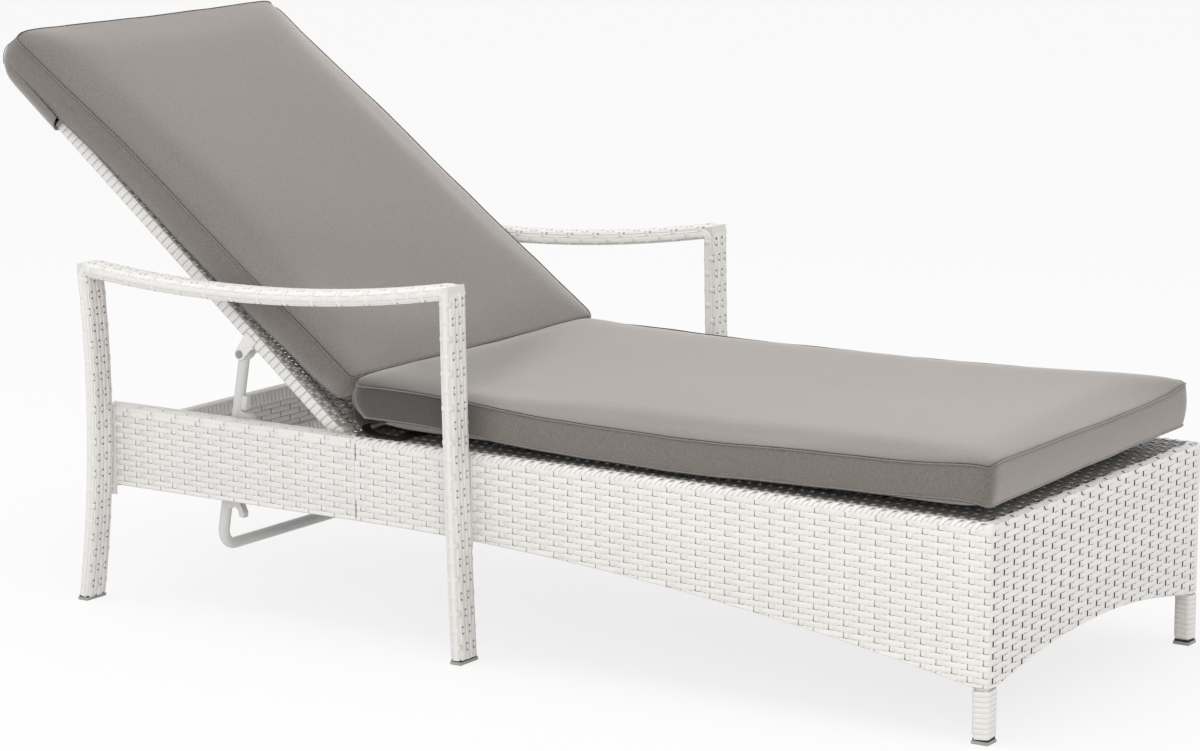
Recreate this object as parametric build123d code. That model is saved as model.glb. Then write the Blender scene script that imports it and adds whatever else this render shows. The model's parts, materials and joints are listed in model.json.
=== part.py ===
from build123d import *
import os
from math import cos, hypot, radians, sin, sqrt

# Reclining sun lounger: a woven base with two arm loops, a backrest on a cross hinge,
# a prop bail under the backrest and a seat and a back cushion.
# Millimetres. +X points to the foot end, +Z is up, the left side is +Y.

# Overall sizes of the base
front_x = 914.15             # front face of the base, measured from the origin
base_width = 696.0           # over the woven side aprons
frame_top = 320.0            # top of the woven seat
base_length = 1612.0         # front face to the rear end of the side aprons
apron_bottom_rear = 186.0    # lower edge of the side apron behind the seam
apron_bottom_front = 80.0    # lower edge of the aprons at the front corners
arch_rise = 34.0             # rise of the front apron's arched edge
seam_distance = 1109.0       # front face to the rear seam of the side apron
arm_seam_distance = 905.0    # front face to the apron joint behind the front arm leg

# Woven sheets and tubes
skin = 3.0                   # woven sheet thickness
rail = 22.0                  # square frame tube
tube_wall = 1.5
edge_tube = 16.0             # round tube along the lower apron edges
crossbar = 18.0              # square deck crossbar
crossbar_first = 290.0       # front face to the first crossbar
crossbar_pitch = 270.0
crossbar_count = 3
leg_wrap = 3.0               # wound strand on the front legs
wrap_gap = 1.5               # between the wound strand and the apron above it
cap_height = 8.0             # plastic foot caps
cap_wall = 2.0
rear_panel_top = 280.0       # rear panel, lower than the side rails

# Arm loops
arm_width = 48.0
arm_thickness = 20.0
arm_skin = 2.0
arm_gap = 4.0                # mounting plate between the apron and the arm
plate_half_width = 10.0
plate_drop = 14.0            # plate showing below the apron
arm_front_top_ahead = 3.0    # arm's front leg, centre line ahead of the apron joint
arm_front_middle_ahead = 9.0
arm_front_foot_ahead = 21.0
arm_rear_top_behind = 5.0    # arm's rear leg, centre line behind the side aprons' end
arm_rear_middle_ahead = 8.0
arm_rear_foot_behind = 17.0
arm_middle_height = 300.0
arm_height_front = 583.0     # top of the armrest at its front end
arm_height_low = 541.0       # lowest point of the armrest's top
arm_height_rear = 557.0
arm_low_ahead = 282.0        # lowest point ahead of the side aprons' end

# Screws and bolts
bolt_radius = 4.0
bolt_head_radius = 7.0
bolt_head = 4.0
bolt_reach = 6.0             # thread reaching into the arm tube
bolt_head_room = 2.0         # free space round a bolt head
hole_clearance = 0.05

# Recline hinge
hinge_distance = 1158.0
hinge_drop = 12.0            # hinge axis below the top of the frame
rest_angle = 39.0            # backrest above the horizontal in its resting notch
hinge_bolt_radius = 5.0
bush_wall = 3.0
bush_end_gap = 0.5
back_side_gap = 4.0          # between the backrest and the side rails

# Backrest
back_length = 735.0
back_rail = 20.0
back_wrap = 2.0
back_crossbar_low = 250.0    # hinge to the crossbars, along the backrest
back_crossbar_high = 470.0
bottom_bar_start = 20.0

# Prop bail
bail_pivot_along = 226.5     # hinge to bail pivot, along the backrest
bail_pivot_below = 37.0      # and below its centre line
bail_diameter = 18.0
bail_length = 326.0          # pivot to the crossbar's centre line
bail_bend = 34.0
bail_lean = 9.5              # degrees, rearward at the bottom
bail_eye_radius = 11.0
cheek = 2.5
cheek_gap = 1.0
cheek_half_length = 13.0
bracket_web = 3.0
screw_radius = 4.0
screw_head_radius = 6.5
screw_head = 2.5
catch_upper = 116.0          # pivot to the seats of the catches, down the leg
catch_middle = 190.0
catch_lower = 263.0
catch_width = 12.0
catch_reach = 40.0
catch_top = 26.0             # catch plate above its seat
catch_shoulder = 20.0
catch_nose = 6.0
catch_tip = 2.0              # lip reaching below the seat
catch_chamfer = 10.0
catch_lip = 8.0
catch_arch = 11.0            # depth of the arch over the bar
catch_arch_edge = 8.0
catch_arch_half = 7.0
catch_heel = 4.0
catch_bar_play = 3.5         # free room round the bar in the arch
catch_bar_diameter = 16.0
catch_bar_below = 28.0       # bar below the middle catch's seat
catch_bar_ahead = 27.0       # bar ahead of the bail leg
catch_post = 18.0

# Cushions
cushion_width = 664.0
cushion_boxing = 48.0
cushion_crown = 14.0
cushion_draw = 8.0           # side pulled in at mid length
cushion_bulge = 4.0
seat_cushion_front = 2.0
seat_cushion_length = 1068.0
seat_cushion_seam = 356.0    # height of the lower seam
seat_cushion_belly = 32.0
back_cushion_length = 838.0
back_cushion_start = 39.5    # lower end, along the backrest from the hinge
back_cushion_seam = 50.0     # lower seam above the backrest's centre line
back_cushion_tilt = 2.0
back_cushion_belly = 10.0
fold_gap = 1.5
fold_side_inset = 8.0
strap_width = 25.0
strap_thickness = 2.5
strap_distance = 1030.0

# Values that follow from the sizes above
half_width = base_width / 2
rail_outer = half_width - skin
rail_inner = rail_outer - rail
rail_top = frame_top - skin
rail_bottom = rail_top - rail
rail_mid_z = rail_top - rail / 2
leg_back = skin + rail
wrap_back = leg_back + leg_wrap
edge_radius = edge_tube / 2
edge_y = rail_outer - edge_radius
post_front = base_length - rail
hinge_x = front_x - hinge_distance
hinge_z = frame_top - hinge_drop
hinge_axis = Axis((hinge_x, 0, hinge_z), (0, 1, 0))
back_outer = rail_inner - back_side_gap
back_rail_outer = back_outer - back_wrap
back_rail_inner = back_rail_outer - back_rail
back_inner = back_rail_inner - back_wrap
back_half = back_rail / 2
back_skin_half = back_half + back_wrap
bail_y = (back_rail_outer + back_rail_inner) / 2
bail_radius = bail_diameter / 2
arm_front_top = arm_seam_distance - arm_front_top_ahead
arm_front_middle = arm_seam_distance - arm_front_middle_ahead
arm_front_foot = arm_seam_distance - arm_front_foot_ahead
arm_rear_top = base_length + arm_rear_top_behind
arm_rear_middle = base_length - arm_rear_middle_ahead
arm_rear_foot = base_length + arm_rear_foot_behind
arm_low_distance = base_length - arm_low_ahead
arm_inner = half_width + arm_gap
arm_outer = arm_inner + arm_width

sides = {"left": 1, "right": -1}
parts = {}


def x_at(distance):
    return front_x - distance


def block(x0, x1, y0, y1, z0, z1):
    size = Box(abs(x1 - x0), abs(y1 - y0), abs(z1 - z0))
    return Pos((x0 + x1) / 2, (y0 + y1) / 2, (z0 + z1) / 2) * size


def rod(start, end, radius):
    run = Vector(*end) - Vector(*start)
    bar = Cylinder(radius, run.length, align=(Align.CENTER, Align.CENTER, Align.MIN))
    return Plane(origin=start, z_dir=run) * bar


def pipe(start, end, radius, bore):
    return rod(start, end, radius) - rod(start, end, bore)


def tube_along_x(x0, x1, y0, y1, z0, z1, wall=tube_wall):
    return block(x0, x1, y0, y1, z0, z1) - block(x0, x1, y0 + wall, y1 - wall, z0 + wall, z1 - wall)


def tube_along_y(x0, x1, y0, y1, z0, z1, wall=tube_wall):
    return block(x0, x1, y0, y1, z0, z1) - block(x0 + wall, x1 - wall, y0, y1, z0 + wall, z1 - wall)


def tube_along_z(x0, x1, y0, y1, z0, z1, wall=tube_wall):
    return block(x0, x1, y0, y1, z0, z1) - block(x0 + wall, x1 - wall, y0 + wall, y1 - wall, z0, z1)


def panel_xz(edges, y0, y1):
    face = Face(Wire(edges))
    return extrude(face.moved(Pos(0, y0, 0)), amount=y1 - y0, dir=(0, 1, 0))


def polygon_xz(points, y0, y1):
    corners = [Vector(x, 0, z) for x, z in points]
    ring = corners + corners[:1]
    return panel_xz([Edge.make_line(a, b) for a, b in zip(ring, ring[1:])], y0, y1)


def point_xz(x, z):
    return Vector(x, 0, z)


def mirrored(shape, side):
    return shape if side > 0 else mirror(shape, about=Plane.XZ)


# Lower edge of the side apron: level behind the rear seam, then one large arc down to the leg
edge_run = seam_distance - wrap_back
edge_drop = apron_bottom_rear - apron_bottom_front
edge_arc = (edge_run ** 2 + edge_drop ** 2) / (2 * edge_drop)


def apron_bottom(distance, above=0.0):
    radius = edge_arc + above
    run = max(seam_distance - distance, 0.0)
    return apron_bottom_rear - edge_arc + sqrt(radius ** 2 - run ** 2)


def edge_point(distance, above=0.0):
    return point_xz(x_at(distance), apron_bottom(distance, above))


def side_apron(start, end):
    top_front = point_xz(x_at(start), frame_top)
    top_rear = point_xz(x_at(end), frame_top)
    arc_start = max(start, wrap_back)
    edges = [Edge.make_line(top_rear, top_front)]
    low_front = edge_point(arc_start)
    if start < arc_start:
        corner = point_xz(x_at(start), apron_bottom_front)
        edges += [Edge.make_line(top_front, corner), Edge.make_line(corner, low_front)]
    else:
        edges.append(Edge.make_line(top_front, low_front))
    if end <= seam_distance:
        middle = edge_point((arc_start + end) / 2)
        edges.append(Edge.make_three_point_arc(low_front, middle, edge_point(end)))
    else:
        edges.append(Edge.make_line(low_front, point_xz(x_at(end), apron_bottom_rear)))
    edges.append(Edge.make_line(edges[-1] @ 1, top_rear))
    return panel_xz(edges, rail_outer, half_width)


def circle_through(first, middle, last):
    (ax, az), (bx, bz), (cx, cz) = first, middle, last
    d = 2 * (ax * (bz - cz) + bx * (cz - az) + cx * (az - bz))
    a2, b2, c2 = ax * ax + az * az, bx * bx + bz * bz, cx * cx + cz * cz
    ux = (a2 * (bz - cz) + b2 * (cz - az) + c2 * (az - bz)) / d
    uz = (a2 * (cx - bx) + b2 * (ax - cx) + c2 * (bx - ax)) / d
    return ux, uz


def strip(points, thickness, y0, y1):
    # A band of even thickness along the arc through three points in the side view
    ux, uz = circle_through(*points)
    sides_of_band = []
    for offset in (thickness / 2, -thickness / 2):
        line = []
        for x, z in points:
            reach = hypot(x - ux, z - uz)
            scale = (reach + offset) / reach
            line.append(point_xz(ux + (x - ux) * scale, uz + (z - uz) * scale))
        sides_of_band.append(line)
    outer, inner = sides_of_band
    edges = [
        Edge.make_three_point_arc(*outer),
        Edge.make_line(outer[2], inner[2]),
        Edge.make_three_point_arc(inner[2], inner[1], inner[0]),
        Edge.make_line(inner[0], outer[0]),
    ]
    return panel_xz(edges, y0, y1)


def arm_loop(inset):
    # The loop's solid, drawn in by the inset on every face but the feet
    thickness = arm_thickness - 2 * inset
    y0, y1 = arm_inner + inset, arm_outer - inset
    half = thickness / 2
    lower = arm_thickness / 2
    rest = [
        (x_at(arm_front_top - half), arm_height_front - lower),
        (x_at(arm_low_distance), arm_height_low - lower),
        (x_at(arm_rear_top + half), arm_height_rear - lower),
    ]
    front = [
        (x_at(arm_front_foot), 0),
        (x_at(arm_front_middle), arm_middle_height),
        (x_at(arm_front_top), arm_height_front - lower),
    ]
    rear = [
        (x_at(arm_rear_foot), 0),
        (x_at(arm_rear_middle), arm_middle_height),
        (x_at(arm_rear_top), arm_height_rear - lower),
    ]
    loop = strip(rest, thickness, y0, y1)
    for leg in (front, rear):
        loop = loop + strip(leg, thickness, y0, y1)
    floor = block(x_at(0), x_at(2 * base_length), y0 - arm_width, y1 + arm_width, -arm_width, cap_height)
    return loop - floor


def arm_leg_distance(foot, middle, top, top_height, height):
    # Distance of an arm leg's centre line from the front face at a height
    ux, uz = circle_through((foot, 0), (middle, arm_middle_height), (top, top_height))
    radius = hypot(foot - ux, uz)
    side = 1 if middle > ux else -1
    return ux + side * sqrt(radius ** 2 - (height - uz) ** 2)


def front_arm_distance(height):
    top = arm_height_front - arm_thickness / 2
    return arm_leg_distance(arm_front_foot, arm_front_middle, arm_front_top, top, height)


def rear_arm_distance(height):
    top = arm_height_rear - arm_thickness / 2
    return arm_leg_distance(arm_rear_foot, arm_rear_middle, arm_rear_top, top, height)


def to_rest(shape):
    # From the flat backrest to its resting angle
    return shape.rotate(hinge_axis, rest_angle)


def back_block(s0, s1, y0, y1, n0, n1):
    return block(hinge_x - s0, hinge_x - s1, y0, y1, hinge_z + n0, hinge_z + n1)


def cushion(length, belly):
    # Boxed pad along +X from 0, lower seam at height 0: crowned panels and drawn-in sides
    half = cushion_width / 2 - cushion_bulge
    stations = ((0.0, 0.0, 0.3), (0.1, 0.45, 0.85), (0.5, 1.0, 1.0), (0.9, 0.45, 0.85), (1.0, 0.0, 0.3))
    sections = []
    for share, draw, fill in stations:
        w = half - cushion_draw * draw
        x = length * share
        low_left, low_right = Vector(x, w, 0), Vector(x, -w, 0)
        top_left, top_right = Vector(x, w, cushion_boxing), Vector(x, -w, cushion_boxing)
        bulge = w + cushion_bulge
        mid = cushion_boxing / 2
        edges = [
            Edge.make_three_point_arc(low_right, Vector(x, 0, -belly * fill), low_left),
            Edge.make_three_point_arc(low_left, Vector(x, bulge, mid), top_left),
            Edge.make_three_point_arc(top_left, Vector(x, 0, cushion_boxing + cushion_crown * fill), top_right),
            Edge.make_three_point_arc(top_right, Vector(x, -bulge, mid), low_right),
        ]
        sections.append(Wire(edges))
    return Solid.make_loft(sections)


# Bolts through the side frame into each arm leg: distance, height and the face under the head
lower_bolt_z = apron_bottom_rear + rail + bolt_head_radius + bolt_head_room
front_low_z = apron_bottom(front_arm_distance(apron_bottom_rear), edge_radius)
arm_bolt_places = (
    (front_arm_distance(rail_mid_z), rail_mid_z, rail_inner),
    (front_arm_distance(front_low_z), front_low_z, edge_y - edge_radius),
    (rear_arm_distance(rail_mid_z), rail_mid_z, rail_inner),
    (rear_arm_distance(lower_bolt_z), lower_bolt_z, rail_inner),
)


def arm_bolt_holes():
    radius = bolt_radius + hole_clearance
    reach = arm_inner + arm_skin + tube_wall
    holes = [rod((x_at(d), 0, z), (x_at(d), reach, z), radius) for d, z, face in arm_bolt_places]
    return holes[0] + holes[1] + holes[2] + holes[3]


# Bail geometry in the side view, at rest
def back_point(along, above, turn):
    a = radians(turn)
    return hinge_x - along * cos(a) + above * sin(a), hinge_z + along * sin(a) + above * cos(a)


pivot_x, pivot_z = back_point(bail_pivot_along, -bail_pivot_below, rest_angle)
pivot_axis = Axis((pivot_x, 0, pivot_z), (0, 1, 0))


def bail_point(down, ahead):
    a = radians(bail_lean)
    return pivot_x + ahead * cos(a) - down * sin(a), pivot_z - ahead * sin(a) - down * cos(a)


catch_bar_x, catch_bar_z = bail_point(catch_middle + catch_bar_below, catch_bar_ahead)


# Side frames
leg_blocks = {}
arm_holes = arm_bolt_holes()
for name, side in sides.items():
    leg_block = block(x_at(skin), x_at(leg_back), rail_inner, rail_outer, cap_height, rail_top)
    leg = tube_along_z(x_at(leg_back), x_at(skin), rail_inner, rail_outer, cap_height, rail_top)
    parts[f"front_leg_{name}"] = mirrored(leg, side)
    leg_blocks[name] = mirrored(leg_block, side)

    top = tube_along_x(x_at(post_front), x_at(leg_back), rail_inner, rail_outer, rail_bottom, rail_top)
    hinge_hole = rod(
        (hinge_x, rail_inner - tube_wall, hinge_z),
        (hinge_x, rail_inner + 2 * tube_wall, hinge_z),
        hinge_bolt_radius + hole_clearance,
    )
    parts[f"side_rail_{name}"] = mirrored(top - arm_holes - hinge_hole, side)

    post = tube_along_z(
        x_at(base_length), x_at(post_front), rail_inner, rail_outer, apron_bottom_rear, rail_top
    )
    parts[f"rear_post_{name}"] = mirrored(post - arm_holes, side)

    level = Edge.make_line(
        point_xz(x_at(post_front), apron_bottom_rear + edge_radius),
        point_xz(x_at(seam_distance), apron_bottom_rear + edge_radius),
    )
    dip = Edge.make_three_point_arc(
        edge_point(seam_distance, edge_radius),
        edge_point((seam_distance + leg_back) / 2, edge_radius),
        edge_point(skin + rail / 2, edge_radius),
    )
    path = Wire([level, dip]).moved(Pos(0, side * edge_y, 0))
    ring = Circle(edge_radius) - Circle(edge_radius - tube_wall)
    edge = sweep(Plane(origin=path @ 0, z_dir=path % 0) * ring, path=path)
    parts[f"bottom_rail_{name}"] = edge - leg_blocks[name] - mirrored(arm_holes, side)

    post_low = apron_bottom_rear + edge_tube
    catch_holder = tube_along_z(
        catch_bar_x - catch_post / 2, catch_bar_x + catch_post / 2,
        rail_outer - catch_post, rail_outer, post_low, rail_bottom,
    )
    parts[f"catch_post_{name}"] = mirrored(catch_holder, side)

    wrap_top = apron_bottom_front - wrap_gap
    wrap_foot = block(x_at(0), x_at(wrap_back), rail_inner - leg_wrap, half_width, cap_height, wrap_top)
    parts[f"front_leg_wrap_{name}"] = mirrored(wrap_foot - leg_block, side)

# Cross members between the side frames
front_cross = tube_along_y(x_at(leg_back), x_at(skin), -rail_inner, rail_inner, rail_bottom, rail_top)
parts["front_rail"] = front_cross
for number in range(crossbar_count):
    distance = crossbar_first + crossbar_pitch * number
    parts[f"seat_crossbar_{number + 1}"] = tube_along_y(
        x_at(distance + crossbar), x_at(distance), -rail_inner, rail_inner, rail_top - crossbar, rail_top
    )
seat_rear = hinge_distance - back_skin_half * sqrt(2) - back_side_gap
parts["seat_rear_bar"] = tube_along_y(
    x_at(seat_rear), x_at(seat_rear - crossbar), -rail_inner, rail_inner, rail_top - crossbar, rail_top
)
parts["rear_rail_top"] = tube_along_y(
    x_at(base_length), x_at(post_front), -rail_inner, rail_inner, rear_panel_top - rail, rear_panel_top
)
parts["rear_rail_bottom"] = tube_along_y(
    x_at(base_length), x_at(post_front), -rail_inner, rail_inner, apron_bottom_rear, apron_bottom_rear + rail
)
catch_post_inner = rail_outer - catch_post
parts["catch_bar"] = pipe(
    (catch_bar_x, -catch_post_inner, catch_bar_z),
    (catch_bar_x, catch_post_inner, catch_bar_z),
    catch_bar_diameter / 2,
    catch_bar_diameter / 2 - tube_wall,
)

# Arched tube along the lower edge of the front apron
arch_x = x_at(skin + edge_radius)
arch_z = apron_bottom_front + edge_radius
arch_end = rail_inner + rail / 2
arch = Edge.make_three_point_arc(
    Vector(arch_x, -arch_end, arch_z),
    Vector(arch_x, 0, arch_z + arch_rise),
    Vector(arch_x, arch_end, arch_z),
)
arch_ring = Circle(edge_radius) - Circle(edge_radius - tube_wall)
arch_tube = sweep(Plane(origin=arch @ 0, z_dir=arch % 0) * arch_ring, path=Wire([arch]))
parts["front_arch_tube"] = arch_tube - leg_blocks["left"] - leg_blocks["right"]

# Woven sheets of the base
apron_runs = {"front": (skin, arm_seam_distance), "middle": (arm_seam_distance, seam_distance),
              "rear": (seam_distance, base_length)}
for place, (start, end) in apron_runs.items():
    for name, side in sides.items():
        parts[f"side_apron_{place}_{name}"] = mirrored(side_apron(start, end) - arm_holes, side)

arch_half = rail_inner - leg_wrap
front_corners = [
    Vector(x_at(0), -half_width, apron_bottom_front),
    Vector(x_at(0), -half_width, frame_top),
    Vector(x_at(0), half_width, frame_top),
    Vector(x_at(0), half_width, apron_bottom_front),
    Vector(x_at(0), arch_half, apron_bottom_front),
]
front_edges = [Edge.make_line(a, b) for a, b in zip(front_corners, front_corners[1:])]
arch_left = front_corners[-1]
arch_right = Vector(x_at(0), -arch_half, apron_bottom_front)
arch_top = Vector(x_at(0), 0, apron_bottom_front + arch_rise)
front_edges.append(Edge.make_three_point_arc(arch_left, arch_top, arch_right))
front_edges.append(Edge.make_line(arch_right, front_corners[0]))
front_face = Face(Wire(front_edges))
parts["front_apron"] = extrude(front_face, amount=skin, dir=(-1, 0, 0))
rear_sheet_half = rail_inner - bolt_head - bolt_head_room
parts["rear_apron"] = block(
    x_at(base_length - rail / 2 - skin), x_at(base_length - rail / 2),
    -rear_sheet_half, rear_sheet_half, apron_bottom_rear + rail, rear_panel_top - rail,
)
parts["seat_deck"] = block(x_at(seat_rear), x_at(skin), -rail_outer, rail_outer, rail_top, frame_top)

# Arm loops with their mounting plates and bolts
tube_solid = arm_loop(arm_skin)
arm_skin_solid = arm_loop(0) - tube_solid - arm_holes
arm_tube_solid = tube_solid - arm_loop(arm_skin + tube_wall) - arm_holes
plate_low = apron_bottom_rear - plate_drop
arm_bolts = []
for d, z, face in arm_bolt_places:
    shank = rod((x_at(d), face, z), (x_at(d), arm_inner + bolt_reach, z), bolt_radius)
    head = rod((x_at(d), face - bolt_head, z), (x_at(d), face, z), bolt_head_radius)
    arm_bolts.append(shank + head)
arm_plates = []
for d in (front_arm_distance(rail_mid_z), rear_arm_distance(rail_mid_z)):
    x0, x1 = x_at(d + plate_half_width), x_at(d - plate_half_width)
    arm_plates.append(block(x0, x1, half_width, arm_inner, plate_low, rail_top) - arm_holes)
for name, side in sides.items():
    parts[f"arm_tube_{name}"] = mirrored(arm_tube_solid, side)
    parts[f"arm_wicker_{name}"] = mirrored(arm_skin_solid, side)
parts["arm_plates"] = Compound([mirrored(plate, side) for plate in arm_plates for side in sides.values()])
parts["arm_bolts"] = Compound([mirrored(bolt, side) for bolt in arm_bolts for side in sides.values()])

# Foot caps
leg_cap = block(x_at(wrap_back), x_at(0), rail_inner - leg_wrap, half_width, 0, cap_height)
parts["front_foot_caps"] = Compound([mirrored(leg_cap, side) for side in sides.values()])
arm_caps = []
for foot in (arm_front_foot, arm_rear_foot):
    reach = arm_thickness / 2 + cap_wall
    arm_caps.append(block(
        x_at(foot + reach), x_at(foot - reach), arm_inner, arm_outer, 0, cap_height
    ))
parts["arm_foot_caps"] = Compound([mirrored(cap, side) for cap in arm_caps for side in sides.values()])

# Recline hinge: a bolt from the inside into each side rail, and a bush that turns on it
bolt_end = rail_inner + 2 * tube_wall
hinge_head = back_inner - bush_end_gap
hinge_bolt = rod((hinge_x, hinge_head, hinge_z), (hinge_x, bolt_end, hinge_z), hinge_bolt_radius)
hinge_bolt = hinge_bolt + rod(
    (hinge_x, hinge_head - bolt_head, hinge_z), (hinge_x, hinge_head, hinge_z), hinge_bolt_radius + bush_wall
)
bush = pipe(
    (hinge_x, hinge_head + bush_end_gap, hinge_z),
    (hinge_x, rail_inner - bush_end_gap, hinge_z),
    hinge_bolt_radius + bush_wall,
    hinge_bolt_radius + hole_clearance,
)
parts["hinge_bolts"] = Compound([mirrored(hinge_bolt, side) for side in sides.values()])
parts["hinge_bushes"] = Compound([mirrored(bush, side) for side in sides.values()])
bush_hole = rod(
    (hinge_x, 0, hinge_z), (hinge_x, half_width, hinge_z), hinge_bolt_radius + bush_wall + hole_clearance
)

# Backrest frame, drawn flat and turned to its resting angle
for name, side in sides.items():
    core_end = back_length - back_wrap
    core = back_block(-back_half, core_end, back_rail_inner, back_rail_outer, -back_half, back_half)
    hollow = back_block(
        -back_half, core_end,
        back_rail_inner + tube_wall, back_rail_outer - tube_wall,
        -back_half + tube_wall, back_half - tube_wall,
    )
    parts[f"back_rail_{name}"] = mirrored(to_rest(core - hollow - bush_hole), side)
    sleeve = back_block(
        -back_skin_half, back_length, back_inner, back_outer, -back_skin_half, back_skin_half
    )
    parts[f"back_rail_wicker_{name}"] = mirrored(to_rest(sleeve - core - bush_hole), side)

deck_low = back_skin_half - skin
bar_low = deck_low - back_rail
bar_starts = {
    "back_bottom_bar": bottom_bar_start,
    "back_crossbar_1": back_crossbar_low,
    "back_crossbar_2": back_crossbar_high,
    "back_top_bar": back_length - back_rail,
}
for name, start in bar_starts.items():
    bar = back_block(start, start + back_rail, -back_inner, back_inner, bar_low, deck_low)
    bore = back_block(
        start + tube_wall, start + back_rail - tube_wall, -back_inner, back_inner,
        bar_low + tube_wall, deck_low - tube_wall,
    )
    parts[name] = to_rest(bar - bore)
parts["back_deck"] = to_rest(
    back_block(back_skin_half, back_length, -back_inner, back_inner, deck_low, back_skin_half)
)

# Bail brackets and pivot screws on the backrest
cheek_inner = bail_radius + cheek_gap
cheek_outer = cheek_inner + cheek
screw_hole = rod(
    (pivot_x, 0, pivot_z), (pivot_x, half_width, pivot_z), screw_radius + hole_clearance
)
web_low = -back_skin_half - bracket_web
bracket = back_block(
    bail_pivot_along - cheek_half_length, bail_pivot_along + cheek_half_length,
    bail_y - cheek_outer, bail_y + cheek_outer, web_low, -back_skin_half,
)
for y0 in (bail_y - cheek_outer, bail_y + cheek_inner):
    bracket = bracket + back_block(
        bail_pivot_along - cheek_half_length, bail_pivot_along + cheek_half_length,
        y0, y0 + cheek, -bail_pivot_below - cheek_half_length, web_low,
    )
bracket = to_rest(bracket) - screw_hole
screw = rod((pivot_x, bail_y - cheek_outer, pivot_z), (pivot_x, bail_y + cheek_outer, pivot_z), screw_radius)
screw = screw + rod(
    (pivot_x, bail_y + cheek_outer, pivot_z),
    (pivot_x, bail_y + cheek_outer + screw_head, pivot_z),
    screw_head_radius,
)
for name, side in sides.items():
    parts[f"bail_bracket_{name}"] = mirrored(bracket, side)
parts["bail_screws"] = Compound([mirrored(screw, side) for side in sides.values()])

# Prop bail: a bent tube with an eye at each end, and three pairs of catches
leg_start = bail_eye_radius
corners = [
    (pivot_x, -bail_y, pivot_z - leg_start),
    (pivot_x, -bail_y, pivot_z - bail_length),
    (pivot_x, bail_y, pivot_z - bail_length),
    (pivot_x, bail_y, pivot_z - leg_start),
]
bail_path = FilletPolyline(*corners, radius=bail_bend).wire()
bail_ring = Circle(bail_radius) - Circle(bail_radius - tube_wall)
bail_tube = sweep(Plane(origin=bail_path @ 0, z_dir=bail_path % 0) * bail_ring, path=bail_path)
for side in sides.values():
    y0 = side * bail_y
    eye = rod((pivot_x, y0 - bail_radius, pivot_z), (pivot_x, y0 + bail_radius, pivot_z), bail_eye_radius)
    neck = rod((pivot_x, y0, pivot_z), (pivot_x, y0, pivot_z - leg_start - bail_radius), bail_radius)
    bail_tube = bail_tube + (eye + neck)
both_holes = screw_hole + mirror(screw_hole, about=Plane.XZ)
parts["bail"] = bail_tube.rotate(pivot_axis, bail_lean) - both_holes

seat_half = catch_bar_diameter / 2 + catch_bar_play
arch_mid = catch_reach - catch_lip - seat_half
leg_core = rod((pivot_x, bail_y, pivot_z), (pivot_x, bail_y, pivot_z - bail_length), bail_radius)
catches = []
for seat in (catch_upper, catch_middle, catch_lower):
    outline = [
        (0, seat - catch_top),
        (catch_reach - catch_chamfer, seat - catch_shoulder),
        (catch_reach, seat - catch_nose),
        (catch_reach, seat + catch_tip),
        (catch_reach - catch_lip, seat + catch_tip),
        (arch_mid + catch_arch_half, seat - catch_arch_edge),
        (arch_mid, seat - catch_arch),
        (arch_mid - catch_arch_half, seat - catch_arch_edge),
        (arch_mid - seat_half, seat - catch_heel),
        (0, seat - catch_heel),
    ]
    claw = polygon_xz(
        [(pivot_x + ahead, pivot_z - down) for ahead, down in outline],
        bail_y - catch_width / 2, bail_y + catch_width / 2,
    )
    claw = (claw - leg_core).rotate(pivot_axis, bail_lean)
    catches += [mirrored(claw, side) for side in sides.values()]
parts["bail_catches"] = Compound(catches)

# Cushions, the strap under the seat cushion and the soft fold between the cushions
seat_pad = cushion(seat_cushion_length, seat_cushion_belly)
seat_pad_end = seat_cushion_front + seat_cushion_length
parts["seat_cushion"] = seat_pad.moved(Pos(x_at(seat_pad_end), 0, seat_cushion_seam))
back_pad = mirror(cushion(back_cushion_length, back_cushion_belly), about=Plane.YZ)
back_pad = back_pad.rotate(Axis.Y, -back_cushion_tilt)
back_pad = back_pad.moved(Pos(hinge_x - back_cushion_start, 0, hinge_z + back_cushion_seam))
parts["back_cushion"] = to_rest(back_pad)

fold_half = cushion_width / 2 - fold_side_inset
low_back = back_point(back_cushion_start - fold_gap, back_cushion_seam + fold_gap, rest_angle)
high_back = back_point(
    back_cushion_start - fold_gap, back_cushion_seam + cushion_boxing - fold_gap, rest_angle
)
fold_front = x_at(seat_pad_end + fold_gap)
fold_low = seat_cushion_seam + fold_gap
fold_high = seat_cushion_seam + cushion_boxing - fold_gap
parts["cushion_fold"] = polygon_xz(
    [(fold_front, fold_low), (fold_front, fold_high), high_back, low_back], -fold_half, fold_half
)
parts["cushion_strap"] = block(
    x_at(strap_distance + strap_width), x_at(strap_distance), -arch_half, arch_half,
    frame_top, frame_top + strap_thickness,
)

os.makedirs("parts", exist_ok=True)
for name, shape in parts.items():
    export_step(shape, f"parts/{name}.step")
print("nodes", len(parts))
print("hinge", round(hinge_x, 3), round(hinge_z, 3))
print("bail pivot", round(pivot_x, 3), round(pivot_z, 3))
print("catch bar", round(catch_bar_x, 3), round(catch_bar_z, 3))
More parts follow.
